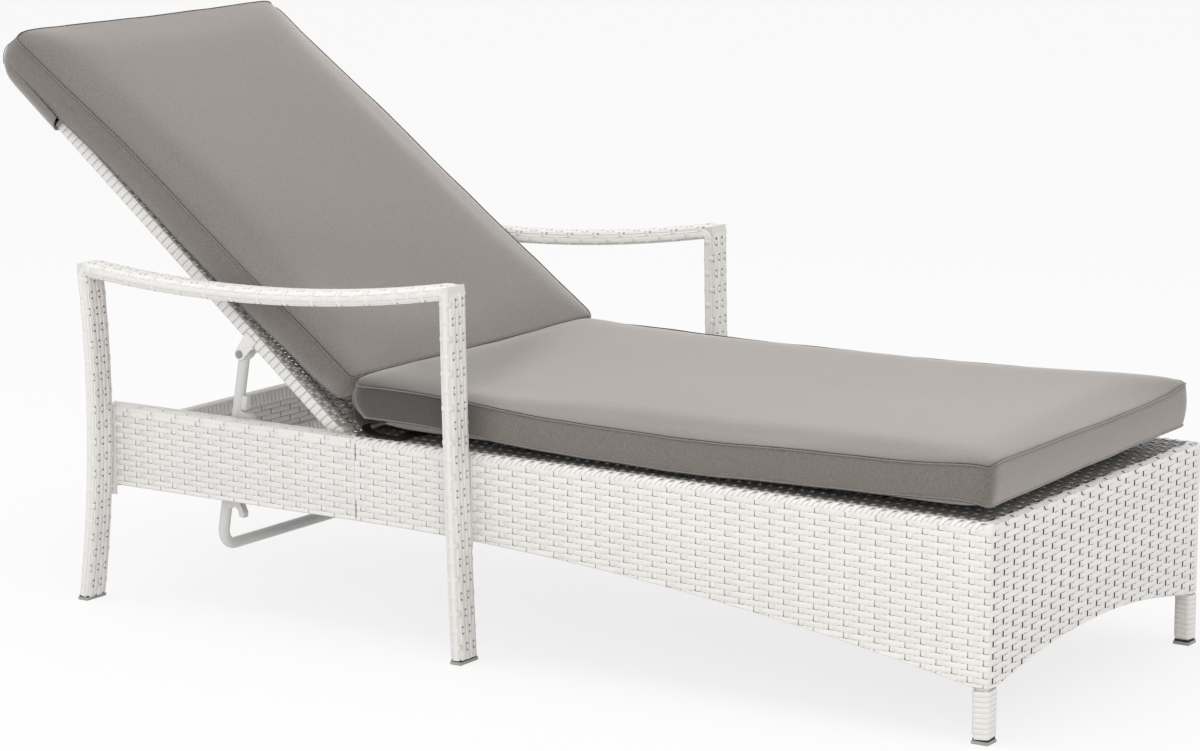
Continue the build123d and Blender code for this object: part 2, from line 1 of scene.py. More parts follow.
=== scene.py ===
import bisect
import bmesh
import bpy
import json
import math
from contextlib import contextmanager
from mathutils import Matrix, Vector


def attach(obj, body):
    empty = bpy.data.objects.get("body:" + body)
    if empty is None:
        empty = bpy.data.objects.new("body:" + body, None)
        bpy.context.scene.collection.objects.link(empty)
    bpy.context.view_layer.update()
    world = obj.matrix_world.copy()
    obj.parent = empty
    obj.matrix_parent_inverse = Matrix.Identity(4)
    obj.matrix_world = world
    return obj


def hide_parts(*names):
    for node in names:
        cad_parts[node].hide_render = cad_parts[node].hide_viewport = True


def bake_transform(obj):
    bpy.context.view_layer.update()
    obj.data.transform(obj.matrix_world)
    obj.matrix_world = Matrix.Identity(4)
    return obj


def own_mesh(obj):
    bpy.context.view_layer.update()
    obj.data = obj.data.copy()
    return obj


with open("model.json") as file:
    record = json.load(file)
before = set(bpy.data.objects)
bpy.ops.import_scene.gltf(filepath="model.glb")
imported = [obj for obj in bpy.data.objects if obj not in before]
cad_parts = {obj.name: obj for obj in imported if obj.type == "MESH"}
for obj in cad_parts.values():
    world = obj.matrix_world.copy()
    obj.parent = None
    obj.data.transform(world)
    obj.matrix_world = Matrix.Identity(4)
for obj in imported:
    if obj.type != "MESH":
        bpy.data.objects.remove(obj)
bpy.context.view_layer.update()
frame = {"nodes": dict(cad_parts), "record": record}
nodes = frame["nodes"]
scene = bpy.context.scene
print("frame loaded")

# sizes taken over from the model, in metres
frontX = 0.91415          # front face of the base
halfWidth = 0.348         # outer face of the side aprons
deckTop = 0.320
strandIn = 0.0009         # middle of a strand inside the outer face
hinge = Vector((-0.24385, 0, 0.308))
restAngle = math.radians(39)


def atX(distance):
    return frontX - distance


# small tools for picking and shaping

def pickNone():
    if bpy.context.object and bpy.context.object.mode != "OBJECT":
        bpy.ops.object.mode_set(mode="OBJECT")
    bpy.ops.object.select_all(action="DESELECT")


def pickOnly(obj):
    pickNone()
    obj.select_set(True)
    bpy.context.view_layer.objects.active = obj
    return obj


@contextmanager
def editing(obj):
    pickOnly(obj)
    bpy.ops.object.mode_set(mode="EDIT")
    yield
    bpy.ops.object.mode_set(mode="OBJECT")


def pickWhere(obj, kind, listName, test):
    bpy.ops.mesh.select_mode(type=kind)
    bpy.ops.mesh.select_all(action="DESELECT")
    for item in getattr(bmesh.from_edit_mesh(obj.data), listName):
        if test(item):
            item.select_set(True)
    bmesh.update_edit_mesh(obj.data)


def pickFaces(obj, test):
    pickWhere(obj, "FACE", "faces", test)


def pickEdges(obj, test):
    pickWhere(obj, "EDGE", "edges", test)


def edgeRuns(e, axis):
    run = e.verts[1].co - e.verts[0].co
    return abs(run[axis]) > 0.98 * run.length


def bakePlace(obj):
    pickOnly(obj)
    bpy.ops.object.transform_apply(location=True, rotation=True, scale=True)
    return obj


def blockOf(name, lo, hi):
    # a plain block between two corners, to be shaped further
    pickNone()
    bpy.ops.mesh.primitive_cube_add(size=1, location=[(a + b) / 2 for a, b in zip(lo, hi)])
    block = bpy.context.object
    block.name = name
    block.scale = [b - a for a, b in zip(lo, hi)]
    return bakePlace(block)


def applyMod(obj, mod):
    pickOnly(obj)
    bpy.ops.object.modifier_apply(modifier=mod.name)


def joinAll(name, parts):
    pickNone()
    for p in parts:
        p.select_set(True)
    bpy.context.view_layer.objects.active = parts[0]
    bpy.ops.object.join()
    whole = bpy.context.object
    whole.name = name
    whole.data.name = name
    return whole


def copyOf(obj, name):
    pickOnly(obj)
    bpy.ops.object.duplicate(linked=False)
    twin = bpy.context.object
    twin.name = name
    twin.data.name = name
    return twin


def turnFaces(obj):
    with editing(obj):
        bpy.ops.mesh.select_all(action="SELECT")
        bpy.ops.mesh.flip_normals()


def mirrorOf(obj, name):
    # the same piece on the other side of the lounger
    twin = copyOf(obj, name)
    twin.scale = (1, -1, 1)
    bakePlace(twin)
    turnFaces(twin)
    return twin


def smooth(obj, angle=50):
    pickOnly(obj)
    bpy.ops.object.shade_smooth_by_angle(angle=math.radians(angle))
    return obj


def mold(obj, place):
    # carries every point of a flat piece to where it lies on the lounger
    for v in obj.data.vertices:
        v.co = place(v.co.x, v.co.y, v.co.z)
    obj.data.update()
    return obj


def repeat(obj, step, count, merge=False):
    mod = obj.modifiers.new("repeat", "ARRAY")
    mod.use_relative_offset = False
    mod.use_constant_offset = True
    mod.constant_offset_displace = step
    mod.count = count
    mod.use_merge_vertices = merge
    mod.merge_threshold = 0.00005
    applyMod(obj, mod)
    return obj


def faceOut(piece):
    # a piece that was turned inside out when it was put in place has its faces turned back
    faces = piece.data.polygons
    middle = sum((f.center for f in faces), Vector()) / len(faces)
    if sum((f.center - middle).dot(f.normal) * f.area for f in faces) <= 0:
        turnFaces(piece)


def dress(piece, body, material, slotName, *stands):
    faceOut(piece)
    piece.data.materials.clear()
    piece.data.materials.append(material)
    if stands:
        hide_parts(*stands)
    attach(piece, body)
    return piece


def dressPair(piece, twinName, body, material, slotName, *stands):
    # a piece on the right side and its mirror image on the left
    twin = mirrorOf(piece, twinName)
    for i, each in enumerate((piece, twin)):
        dress(each, body, material, slotName, *stands[i:i + 1])


# materials

def put(n, key, value):
    # an input is set to a value, or linked when it is given another node's output
    if isinstance(value, bpy.types.NodeSocket):
        n.id_data.links.new(value, n.inputs[key])
    else:
        n.inputs[key].default_value = value


def add(t, kind, inputs=(), **settings):
    n = t.nodes.new("ShaderNode" + kind)
    n.location = (200 * (len(t.nodes) % 8), -300 * (len(t.nodes) // 8))
    for key, value in settings.items():
        setattr(n, key, value)
    for key, value in dict(inputs).items():
        put(n, key, value)
    return n


def calc(t, kind, *values):
    return add(t, "Math", enumerate(values), operation=kind).outputs[0]


def spread(t, value, lo, hi):
    # carries 0 to 1 over to another range
    return add(t, "MapRange", {"Value": value, "To Min": lo, "To Max": hi}).outputs["Result"]


def bumpOn(t, bsdf, height, strength, distance):
    bump = add(t, "Bump", {"Height": height, "Strength": strength, "Distance": distance})
    put(bsdf, "Normal", bump.outputs["Normal"])


def groupOf(name, vector, values, result):
    # an empty node group, with what comes in and where its result goes
    g = bpy.data.node_groups.new(name, "ShaderNodeTree")
    if vector:
        g.interface.new_socket(name=vector, in_out="INPUT", socket_type="NodeSocketVector")
    for key in values:
        g.interface.new_socket(name=key, in_out="INPUT", socket_type="NodeSocketFloat")
    g.interface.new_socket(name=result, in_out="OUTPUT", socket_type="NodeSocketFloat")
    return g, g.nodes.new("NodeGroupInput").outputs, g.nodes.new("NodeGroupOutput").inputs[result]


def blankMaterial(name):
    m = bpy.data.materials.new(name)
    m.use_nodes = True
    t = m.node_tree
    t.nodes.clear()
    bsdf = add(t, "BsdfPrincipled")
    add(t, "OutputMaterial", {"Surface": bsdf.outputs["BSDF"]})
    return m, t, bsdf


def mottleGroup():
    # slow change of tone over a surface: a factor round 1
    g, given, result = groupOf("mottle", "Vector", ("Scale", "Amount"), "Tone")
    noise = add(g, "TexNoise", {"Vector": given["Vector"], "Scale": given["Scale"], "Detail": 3})
    shift = calc(g, "SUBTRACT", noise.outputs["Fac"], 0.5)
    g.links.new(calc(g, "MULTIPLY_ADD", shift, given["Amount"], 1), result)
    return g


mottle = mottleGroup()


def addMottle(t, coords, scale, amount):
    n = add(t, "Group", {"Vector": coords, "Scale": scale, "Amount": amount}, node_tree=mottle)
    return n.outputs["Tone"]


def toned(t, colour, tone):
    mix = add(t, "Mix", {"Factor": 1, "A": (*colour, 1), "B": tone}, data_type="RGBA", blend_type="MULTIPLY")
    return mix.outputs["Result"]


wickerLook = {
    "colour": (0.83, 0.815, 0.795),
    "rough": 0.40,
    "grooves": 1400,       # fine lines along each strand
    "streaks": 12,         # and how often they change along it
    "grooveDepth": 0.00012,
    "strandTones": (0.965, 1.02),
    "mottle": (9, 0.06),
}
# painted shade for each weave: tick, corner, dash, trail and seam set how dark its slits, corner holes,
# dashes between rows, trailing lines and row edges are painted; lean and left put it on the side that lies in
# shade; rows is the painted tone of the rows where the weave lies in shade, darkest on the seat deck under
# the cushion
sideGapShade = {"tick": 0.66, "corner": 1.0, "oneSide": 1, "lean": -1, "left": 1, "dash": 0.45, "pitch": 0.0251,
            "trail": 0.0, "seam": 0.05, "rows": 1, "size": 0}
frontGapShade = dict(sideGapShade, tick=0.92, lean=1, dash=0.0, pitch=0.0298, trail=0.95)
armGapShade = dict(sideGapShade, tick=0.0, corner=0.85, lean=1, left=0, dash=0.0, pitch=0.0260, seam=0.10, size=0.35)
deckGapShade = dict(sideGapShade, tick=0.80, corner=0.95, oneSide=0, lean=1, left=0, dash=0.2, pitch=0.0262,
                seam=0.20, rows=0.25)
woundGapShade = dict(deckGapShade, corner=0.80, dash=0.0, pitch=1.0, seam=0.35, rows=1)
bandGapShade = dict(deckGapShade, rows=0.92, tick=0.35, corner=0.45, seam=0.10)
topGapShade = dict(deckGapShade, rows=0.78, tick=0.2, seam=0.5)
backGapShade = dict(deckGapShade, rows=0.80)
legGapShade = dict(woundGapShade, tick=0.0, corner=0.0, seam=0.10)
railGapShade = dict(woundGapShade, tick=0.0, corner=0.0, seam=0.30)


def gapShadeGroup():
    # painted shade in the slits beside a crossing strand, standing for the shade that falls there: Depth is
    # how far a row dives, 0 to 1, or a post,
    # -1 to -2; Across runs from edge to edge and Along is the length within one wave
    g, given, result = groupOf("strandGaps", None, (
        "Depth", "Across", "Along", "Tick", "Corner", "OneSide", "Lean", "Left", "Dash", "Pitch",
        "Trail", "Seam", "Rows", "Size"), "Light")
    depth, across, pitch, tick = given["Depth"], given["Across"], given["Pitch"], given["Tick"]

    def ramp(value, lo, hi, down=False):
        n = add(g, "MapRange", {"Value": value, "From Min": lo, "From Max": hi, "To Min": 1 if down else 0,
                                "To Max": 0 if down else 1}, interpolation_type="SMOOTHSTEP")
        return n.outputs["Result"]

    def times(a, *others):
        for b in others:
            a = calc(g, "MULTIPLY", a, b)
        return a

    def most(a, *others):
        for b in others:
            a = calc(g, "MAXIMUM", a, b)
        return a

    def without(a):
        return calc(g, "SUBTRACT", 1, a)

    # painted shade in the holes at the corners of a crossing, on one edge of the strand or on both
    side = calc(g, "ABSOLUTE", across)
    toEdge = times(across, given["Lean"])
    single = times(ramp(calc(g, "ADD", toEdge, given["Size"]), 0.20, 0.60), given["OneSide"])
    double = times(ramp(side, 0.55, 0.85), without(given["OneSide"]))
    reach = calc(g, "MULTIPLY_ADD", given["Size"], 0.7, depth)
    hole = times(calc(g, "ADD", single, double), ramp(reach, 0.45, 0.85), given["Corner"])
    # painted shade in the upright slits where a row dives, only on the left of a post if so given, the side
    # that the light leaves in shade
    within = calc(g, "DIVIDE", calc(g, "FLOORED_MODULO", given["Along"], pitch), pitch)
    right = ramp(within, 0.49, 0.51)
    slit = times(most(times(ramp(depth, 0.66, 0.95), tick), hole), without(times(right, given["Left"])))
    # painted shade on the posts' own edges, and on their sunk ends
    post = ramp(depth, -0.9, -0.5, True)
    flankAt = calc(g, "MULTIPLY_ADD", calc(g, "SUBTRACT", across, side), given["Left"], side)
    flank = times(post, ramp(flankAt, 0.80, 0.93), tick)
    sunk = times(ramp(depth, -1.75, -1.1, True), given["Corner"])
    # painted shadows: short dashes between rows, the line that trails off beside a post under a raised row,
    # and the seam between rows
    away = calc(g, "PINGPONG", given["Along"], times(pitch, 0.5))
    rim = ramp(side, 0.78, 1.0)
    dash = times(ramp(away, 0.0010, 0.0032, True), rim, given["Dash"])
    fade = times(right, ramp(within, 0.62, 0.95, True), ramp(toEdge, 0.70, 0.95))
    trail = times(fade, given["Trail"], without(post))
    dark = most(slit, flank, sunk, dash, trail, times(rim, given["Seam"]))
    # rows take the Rows tone and posts keep their colour: painted shade where the weave lies in shade,
    # darkest on the seat deck under the cushion
    tone = calc(g, "MULTIPLY_ADD", post, without(given["Rows"]), given["Rows"])
    g.links.new(times(without(dark), tone), result)
    return g


strandGaps = gapShadeGroup()


def wickerMaterial(name, v, gapShade):
    m, t, bsdf = blankMaterial(name)
    strandMap = add(t, "UVMap", uv_map="strand").outputs["UV"]
    crossMap = add(t, "UVMap", uv_map="crossing").outputs["UV"]
    drawn = add(t, "Mapping", {"Vector": strandMap, "Scale": (v["streaks"], v["grooves"], 1)})
    grain = add(t, "TexNoise", {"Vector": drawn.outputs["Vector"], "Scale": 1, "Detail": 2}).outputs["Fac"]
    bumpOn(t, bsdf, grain, 0.5, v["grooveDepth"])
    each = spread(t, add(t, "NewGeometry").outputs["Random Per Island"], *v["strandTones"])
    where = add(t, "TexCoord").outputs["Object"]
    tone = calc(t, "MULTIPLY", each, addMottle(t, where, *v["mottle"]))
    here = add(t, "SeparateXYZ", {0: crossMap}).outputs
    inputs = {key[0].upper() + key[1:]: val for key, val in gapShade.items()}
    inputs.update(Depth=here["X"], Across=here["Y"], Along=add(t, "SeparateXYZ", {0: strandMap}).outputs["X"])
    # painted gap shade: slits, holes, dashes and row edges are darkened, and rows too where the weave lies in
    # shade
    slit = add(t, "Group", inputs, node_tree=strandGaps).outputs["Light"]
    put(bsdf, "Base Color", toned(t, v["colour"], calc(t, "MULTIPLY", tone, slit)))
    put(bsdf, "Roughness", spread(t, grain, v["rough"] - 0.06, v["rough"] + 0.08))
    return m


def coatMaterial(name, colour, rough, speckle):
    # powder coat on metal: fine orange peel and a slow change of tone
    m, t, bsdf = blankMaterial(name)
    where = add(t, "TexCoord").outputs["Object"]
    put(bsdf, "Base Color", toned(t, colour, addMottle(t, where, 14, 0.07)))
    peel = add(t, "TexNoise", {"Vector": where, "Scale": speckle}).outputs["Fac"]
    bumpOn(t, bsdf, peel, 0.25, 0.0003)
    put(bsdf, "Roughness", spread(t, peel, rough - 0.05, rough + 0.07))
    return m


(strandWhite, frontWhite, armWhite, woundWhite, railWhite,
 deckWhite, bandWhite, topWhite, backWhite, legWhite) = (
    wickerMaterial("white" + kind + "Strand", wickerLook, gapShade) for kind, gapShade in (
        ("", sideGapShade), ("Front", frontGapShade), ("Arm", armGapShade), ("Wound", woundGapShade), ("Rail", railGapShade),
        ("Deck", deckGapShade), ("Band", bandGapShade), ("Top", topGapShade), ("Back", backGapShade), ("Leg", legGapShade)))
# painted paler than the other strands: a painted highlight on the bars, which stand in the light over strands
# that lie in shade
barHighlight = wickerMaterial("whiteBarStrand", dict(wickerLook, colour=(0.95, 0.945, 0.935)), legGapShade)
frameCoat = coatMaterial("frameCoat", (0.74, 0.73, 0.71), 0.42, 900)
bailCoat = coatMaterial("bailCoat", (0.70, 0.70, 0.69), 0.38, 900)
capPlastic = coatMaterial("capPlastic", (0.36, 0.36, 0.35), 0.55, 600)
clipCoat = coatMaterial("clipCoat", (0.84, 0.83, 0.81), 0.40, 900)
# near black: painted shade for the gap between each foot cap and the winding above it
gapDark = coatMaterial("gapDark", (0.022, 0.021, 0.020), 0.80, 600)
screwSteel = coatMaterial("screwSteel", (0.34, 0.34, 0.33), 0.30, 1500)
screwSteel.node_tree.nodes["Principled BSDF"].inputs["Metallic"].default_value = 1
bushNylon = coatMaterial("bushNylon", (0.78, 0.78, 0.76), 0.45, 500)
print("materials made")


# strands: one wave of a flat strand is modelled, then repeated

def strandMaps(obj):
    # fresh maps: length and width of the strand, and depth and place across at a crossing, which steer the
    # painted gap shade
    maps = obj.data.uv_layers
    for layer in list(maps):
        maps.remove(layer)
    for name in ("strand", "crossing"):
        maps.new(name=name)
    return maps["strand"].data, maps["crossing"].data


def strandUnit(name, width, thick, stations, fixed=None):
    # stations: place along the strand, height and how deep it dives there; the depth also marks where gap
    # shade is painted
    span = stations[-1][0]
    parts = len(stations) - 1
    bar = blockOf(name, (0, -width / 2, -thick / 2), (span, width / 2, thick / 2))
    with editing(bar):
        pickFaces(bar, lambda f: abs(f.normal.x) > 0.9)
        bpy.ops.mesh.delete(type="ONLY_FACE")
        pickEdges(bar, lambda e: edgeRuns(e, 0) and e.verts[0].co.z > 0)
        bpy.ops.mesh.bevel(offset=thick * 0.26, segments=1)
        pickEdges(bar, lambda e: edgeRuns(e, 0))
        if parts > 1:
            bpy.ops.mesh.subdivide(number_cuts=parts - 1)
    at = [stations[round(p.co.x / span * parts)] for p in bar.data.vertices]
    lay, cross = strandMaps(bar)
    for loop in bar.data.loops:
        p = bar.data.vertices[loop.vertex_index].co
        x, z, deep = at[loop.vertex_index]
        lay[loop.index].uv = (x if fixed is None else fixed, p.y + p.z)
        cross[loop.index].uv = (deep, p.y / width * 2)
    for p, (x, z, deep) in zip(bar.data.vertices, at):
        p.co.x = x
        p.co.z += z
    return bar


def evenly(span, parts):
    return [(span * i / parts, 0, 0) for i in range(parts + 1)]


def rowStations(w, first):
    # a row lies flat, rises a little over one post and dives under the next
    s = 2 * w["post"]
    over, under = (0.25 * s, 0.75 * s) if first else (0.75 * s, 0.25 * s)
    half = w["postWidth"] / 2
    lift = [(over - w["post"] * 0.2, 0, 0), (over, w["bulge"], 0), (over + w["post"] * 0.2, 0, 0)]
    out = [(under + half + w["slit"], -w["dip"], 1), (under + half + w["slope"], 0, 0)]
    if w.get("tight"):
        # on this side the row comes up close against the post
        out = [(under + half - 0.0006, -w["dip"], 1), (under + half + 0.0003, 0, 0)]
    dive = [(under - half - w["slope"], 0, 0), (under - half - w["slit"], -w["dip"], 1)] + out
    both = lift + dive if first else dive + lift
    return dense([(0, 0, 0)] + both + [(s, 0, 0)], w.get("step", 1))


def dense(stations, most):
    # adds places in between where a strand has to follow a bend
    out = [stations[0]]
    for a, b in zip(stations, stations[1:]):
        parts = math.ceil((b[0] - a[0]) / most)
        out += [tuple(a[k] + (b[k] - a[k]) * i / parts for k in range(3)) for i in range(1, parts + 1)]
    return out


def postStations(w, first):
    # a post shows over one row, level with the rows, and runs behind the next
    r = w["row"]
    d = w["dip"] * 1.12
    ease = r * 0.14
    up = 0.00015
    # an end marked -1.9 is painted dark as a sunk end, one marked -1.15 hardly at all, so the painted shadow
    # can fall on one end of each post only
    low, high = w.get("postEnds", (-1.9, -1.9))
    dips = [-d * 0.5 if k < -1.5 else -0.0002 for k in (low, high)]
    shape = [(0, dips[0], low), (ease, up, -1), (r - ease, up, -1), (r, dips[1], high),
             (r + ease, -d, -2), (2 * r - ease, -d, -2), (2 * r, dips[0], low)]
    if first:
        return shape
    turned = shape[3:-1] + [(x + 2 * r, z, k) for x, z, k in shape[:4]]
    return [(x - r, z, k) for x, z, k in turned]


def flatWeave(name, w):
    # close rows along X and wider spaced posts along Y, over and under in turn
    made = []
    for turn in (0, 1):
        bar = strandUnit(name + "Row", w["rowWidth"], w["thick"], rowStations(w, turn == 0))
        repeat(bar, (2 * w["post"], 0, 0), math.ceil(w["length"] / w["post"] / 2), True)
        repeat(bar, (0, 2 * w["row"], 0), math.ceil((w["rows"] - turn) / 2))
        bar.location = (0, (turn + 0.5) * w["row"], 0)
        made.append(bakePlace(bar))
    for turn in (0, 1):
        bar = strandUnit(name + "Post", w["postWidth"], w["thick"], postStations(w, turn == 1), w["post"] / 2)
        repeat(bar, (2 * w["row"], 0, 0), math.ceil(w["rows"] / 2), True)
        repeat(bar, (0, -2 * w["post"], 0), math.ceil((w["length"] / w["post"] - turn) / 2))
        bar.rotation_euler = (0, 0, math.pi / 2)
        bar.location = ((turn + 0.5) * w["post"], 0, 0)
        made.append(bakePlace(bar))
    sheet = joinAll(name, made)
    cutAt(sheet, (w["length"], 0, 0), (1, 0, 0))
    cutAt(sheet, (0, w["rows"] * w["row"], 0), (0, 1, 0))
    return sheet


def cutAt(obj, point, normal):
    with editing(obj):
        bpy.ops.mesh.select_all(action="SELECT")
        bpy.ops.mesh.bisect(plane_co=point, plane_no=normal, clear_outer=True, use_fill=False)


def trimBelow(obj, low):
    # drops what lies below a curved edge and draws the cut strands up to it
    with editing(obj):
        pickFaces(obj, lambda f: all(v.co.y <= low(v.co.x) for v in f.verts))
        bpy.ops.mesh.delete(type="FACE")
    for v in obj.data.vertices:
        v.co.y = max(v.co.y, low(v.co.x))


# apron outline
apronEdge = {
    "rear": 0.186,
    "front": 0.080,
    "seam": 1.109,
    "leg": 0.028,
    "archHalf": 0.320,
    "archRise": 0.034,
    "bound": 0.003,        # height of the weave's own edge inside the binding
    "spare": 0.02,         # rows made below the edge, cut off later
}


def arcLow(run, drop, at):
    radius = (run ** 2 + drop ** 2) / (2 * drop)
    return radius - math.sqrt(radius ** 2 - at ** 2)


def sideLow(distance):
    e = apronEdge
    if distance >= e["seam"]:
        return e["rear"]
    reach = e["seam"] - max(distance, e["leg"])
    return e["rear"] - arcLow(e["seam"] - e["leg"], e["rear"] - e["front"], reach)


def frontLow(y):
    e = apronEdge
    if abs(y) >= e["archHalf"]:
        return e["front"]
    return e["front"] + e["archRise"] - arcLow(e["archHalf"], e["archRise"], abs(y))


# the woven apron that goes round the foot end in one piece
baseWeave = {
    "row": 0.0089, "rowWidth": 0.00886, "post": 0.0251, "postWidth": 0.0078,
    "thick": 0.0012, "bulge": 0.0003, "dip": 0.00120, "slit": 0.0008, "slope": 0.0030, "tight": True,
    "sideRun": 0.8966,     # side apron, foot end to the arm
    "frontPost": 0.0298,   # the posts stand wider across the foot end
    "corner": 0.006,
    "inset": strandIn,
    "top": 0.3105,
}


def baseWalk(v):
    # the line round three sides: point and outward direction at a length along the weave
    side = v["sideRun"] - v["corner"]
    bend = v["corner"] * math.pi / 2
    across = 2 * (halfWidth - v["corner"])
    r = v["corner"]

    def at(u):
        if u < side:
            return (atX(v["sideRun"]) + u, -halfWidth), (0, -1)
        u -= side
        if u < bend:
            a = u / r
            n = (math.sin(a), -math.cos(a))
            return (frontX - r + r * n[0], -halfWidth + r + r * n[1]), n
        u -= bend
        if u < across:
            return (frontX, -halfWidth + r + u), (1, 0)
        u -= across
        if u < bend:
            a = u / r
            n = (math.cos(a), math.sin(a))
            return (frontX - r + r * n[0], halfWidth - r + r * n[1]), n
        return (frontX - r - (u - bend), halfWidth), (0, 1)

    return at, 2 * side + 2 * bend + across


def lowOnWalk(point):
    x, y = point
    if abs(y) > halfWidth - 0.002:
        return sideLow(frontX - x)
    return frontLow(y)


def apronSheet(name, v, walk, first, length):
    rows = math.ceil((v["top"] - apronEdge["front"]) / v["row"])
    base = v["top"] - rows * v["row"]
    sheet = flatWeave(name, dict(v, length=length, rows=rows))
    trimBelow(sheet, lambda u: lowOnWalk(walk(first + u)[0]) + apronEdge["bound"] - base)

    def place(u, y, w):
        q, n = walk(first + u)
        off = w - v["inset"]
        return Vector((q[0] + n[0] * off, q[1] + n[1] * off, base + y))

    mold(sheet, place)
    return smooth(sheet)


def makeBaseWeave(v):
    # two sides and the foot end, which meet in the rounded corners
    walk, whole = baseWalk(v)
    turn = v["sideRun"] - v["corner"] + v["corner"] * math.pi / 4
    side = apronSheet("sideWeaveRight", dict(v, postEnds=(-1.9, -1.15)), walk, 0, turn)
    dressPair(side, "sideWeaveLeft", "base", strandWhite, "wicker", "side_apron_front_right",
              "side_apron_front_left")
    foot = dict(v, post=v["frontPost"], postEnds=(-1.15, -1.9), slit=0.0015, slope=0.0036)
    front = apronSheet("frontWeave", foot, walk, turn, whole - 2 * turn)
    dress(front, "base", frontWhite, "wicker", "front_apron")


makeBaseWeave(baseWeave)
print("apron weave made")


def makeRearWeave(name, first, last, *stands):
    v = baseWeave
    rows = math.ceil((v["top"] - apronEdge["rear"] + apronEdge["spare"]) / v["row"])
    base = v["top"] - rows * v["row"]
    sheet = flatWeave(name + "Right", dict(v, length=last - first, rows=rows, postEnds=(-1.9, -1.15)))
    trimBelow(sheet, lambda u: sideLow(last - u) + apronEdge["bound"] - base)
    mold(sheet, lambda u, y, w: Vector((atX(last) + u, -halfWidth + v["inset"] - w, base + y)))
    smooth(sheet)
    dressPair(sheet, name + "Left", "base", strandWhite, "wicker", *stands)


makeRearWeave("middleWeave", 0.8975, 1.108, "side_apron_middle_right", "side_apron_middle_left")
makeRearWeave("rearWeave", 1.1105, 1.612, "side_apron_rear_right", "side_apron_rear_left")
print("rear apron weave made")

# woven seat
deckWeave = {
    "row": 0.0089, "rowWidth": 0.0066, "post": 0.0262, "postWidth": 0.0070,
    "thick": 0.0012, "bulge": 0.0003, "dip": 0.00150, "slit": 0.0002, "slope": 0.0052,
    "first": 0.012, "last": 1.135, "half": 0.337,
}


def wovenPanel(name, v, place, body, look, *stands):
    # a flat sheet from side to side
    rows = v.get("rows") or int((v["last"] - v["first"]) / v["row"])
    sheet = flatWeave(name, dict(v, length=2 * v["half"], rows=rows))
    smooth(mold(sheet, place))
    dress(sheet, body, look, "wicker", *stands)


def makeDeck(v):
    wovenPanel("seatWeave", v, lambda u, y, w: Vector((
        atX(v["first"]) - y, u - v["half"], deckTop - strandIn + w)), "base", deckWhite, "seat_deck")


makeDeck(deckWeave)

# strands that roll over the top edge from the seat to the aprons
edgeRoll = {
    "pitch": 0.0089, "width": 0.0086, "thick": 0.0013, "length": 0.0225,
    "flat": 0.006, "radius": 0.010, "skew": 0.70, "lift": 0.0007, "sink": 0.0011, "end": 1.1085,
    "hump": (0.003, 0.0042),  # where a strand rides over or dives, behind the start of the bend
    "row": 0.0079, "rowWidth": 0.0078, "frontRun": 0.684, "rearEnd": 1.604,
    "lean": (0.35, 0.5), "leanFrom": 0.004,  # posts lean over at the foot end and at the sides
}


def rollPlace(v, t):
    # distance out from the start of the bend, and drop, with the direction out of the strand
    r = v["radius"]
    if t < v["flat"]:
        return t - v["flat"], 0, (0, 1)
    a = (t - v["flat"]) / r
    if a < math.pi / 2:
        return r * math.sin(a), r * (1 - math.cos(a)), (math.sin(a), math.cos(a))
    return r, r + (t - v["flat"] - r * math.pi / 2), (1, 0)


def rollStations(v, up):
    # every second strand rides over the edge strand, the others dive under it
    out = []
    for x, *rest in evenly(v["length"], 12):
        hump = math.exp(-((x - v["flat"] - v["hump"][0]) / v["hump"][1]) ** 2)
        # a diving strand is marked for painted gap shade where it dives
        out.append((x, v["lift"] * hump if up else -v["sink"] * hump, 0 if up else 0.8 * hump))
    return out


def rollStrands(name, v, run):
    made = []
    for turn in (0, 1):
        bar = strandUnit(name, v["width"], v["thick"], rollStations(v, turn == 0))
        repeat(bar, (0, 2 * v["pitch"], 0), int(run / v["pitch"] / 2))
        bar.location = (0, (turn + 0.5) * v["pitch"], 0)
        made.append(bakePlace(bar))
    return joinAll(name, made)


def makeEdgeRolls(v):
    side = rollStrands("edgeRollRight", v, v["end"] - 0.002)
    line = halfWidth - v["radius"]

    def placeSide(t, along, w):
        out, drop, n = rollPlace(v, t)
        lean = v["skew"] * (t - v["flat"])
        return Vector((atX(v["end"]) + along - lean, -line - out - n[0] * (w - strandIn),
                       deckTop - drop + n[1] * (w - strandIn)))

    mold(side, placeSide)
    smooth(side)
    dressPair(side, "edgeRollLeft", "base", woundWhite, "wicker")


def rolledRows(name, v, run, rows, post, lean, spot):
    # here the rows themselves go on over the edge; spot turns run, out and up into a place
    weave = dict(baseWeave, post=post, length=run, rows=rows, row=v["row"], rowWidth=v["rowWidth"])
    sheet = flatWeave(name, weave)
    total = rows * weave["row"]
    bend = dict(v, flat=total - v["radius"] * math.pi / 2)

    def place(u, y, w):
        out, drop, n = rollPlace(bend, total - y)
        return spot(u - lean * max(0, y - v["leanFrom"]), out - v["radius"] + n[0] * (w - strandIn),
                    deckTop - drop + n[1] * (w - strandIn))

    mold(sheet, place)
    return smooth(sheet)


def makeRolledRows(v):
    front = rolledRows("edgeRollFront", v, v["frontRun"], 3, baseWeave["frontPost"], v["lean"][0],
                       lambda u, out, up: Vector((frontX + out, u - v["frontRun"] / 2, up)))
    dress(front, "base", frontWhite, "wicker")
    rear = rolledRows("edgeRowsRight", v, v["rearEnd"] - v["end"], 4, baseWeave["post"], v["lean"][1],
                      lambda u, out, up: Vector((atX(v["rearEnd"]) + u, -halfWidth - out, up)))
    dressPair(rear, "edgeRowsLeft", "base", strandWhite, "wicker")


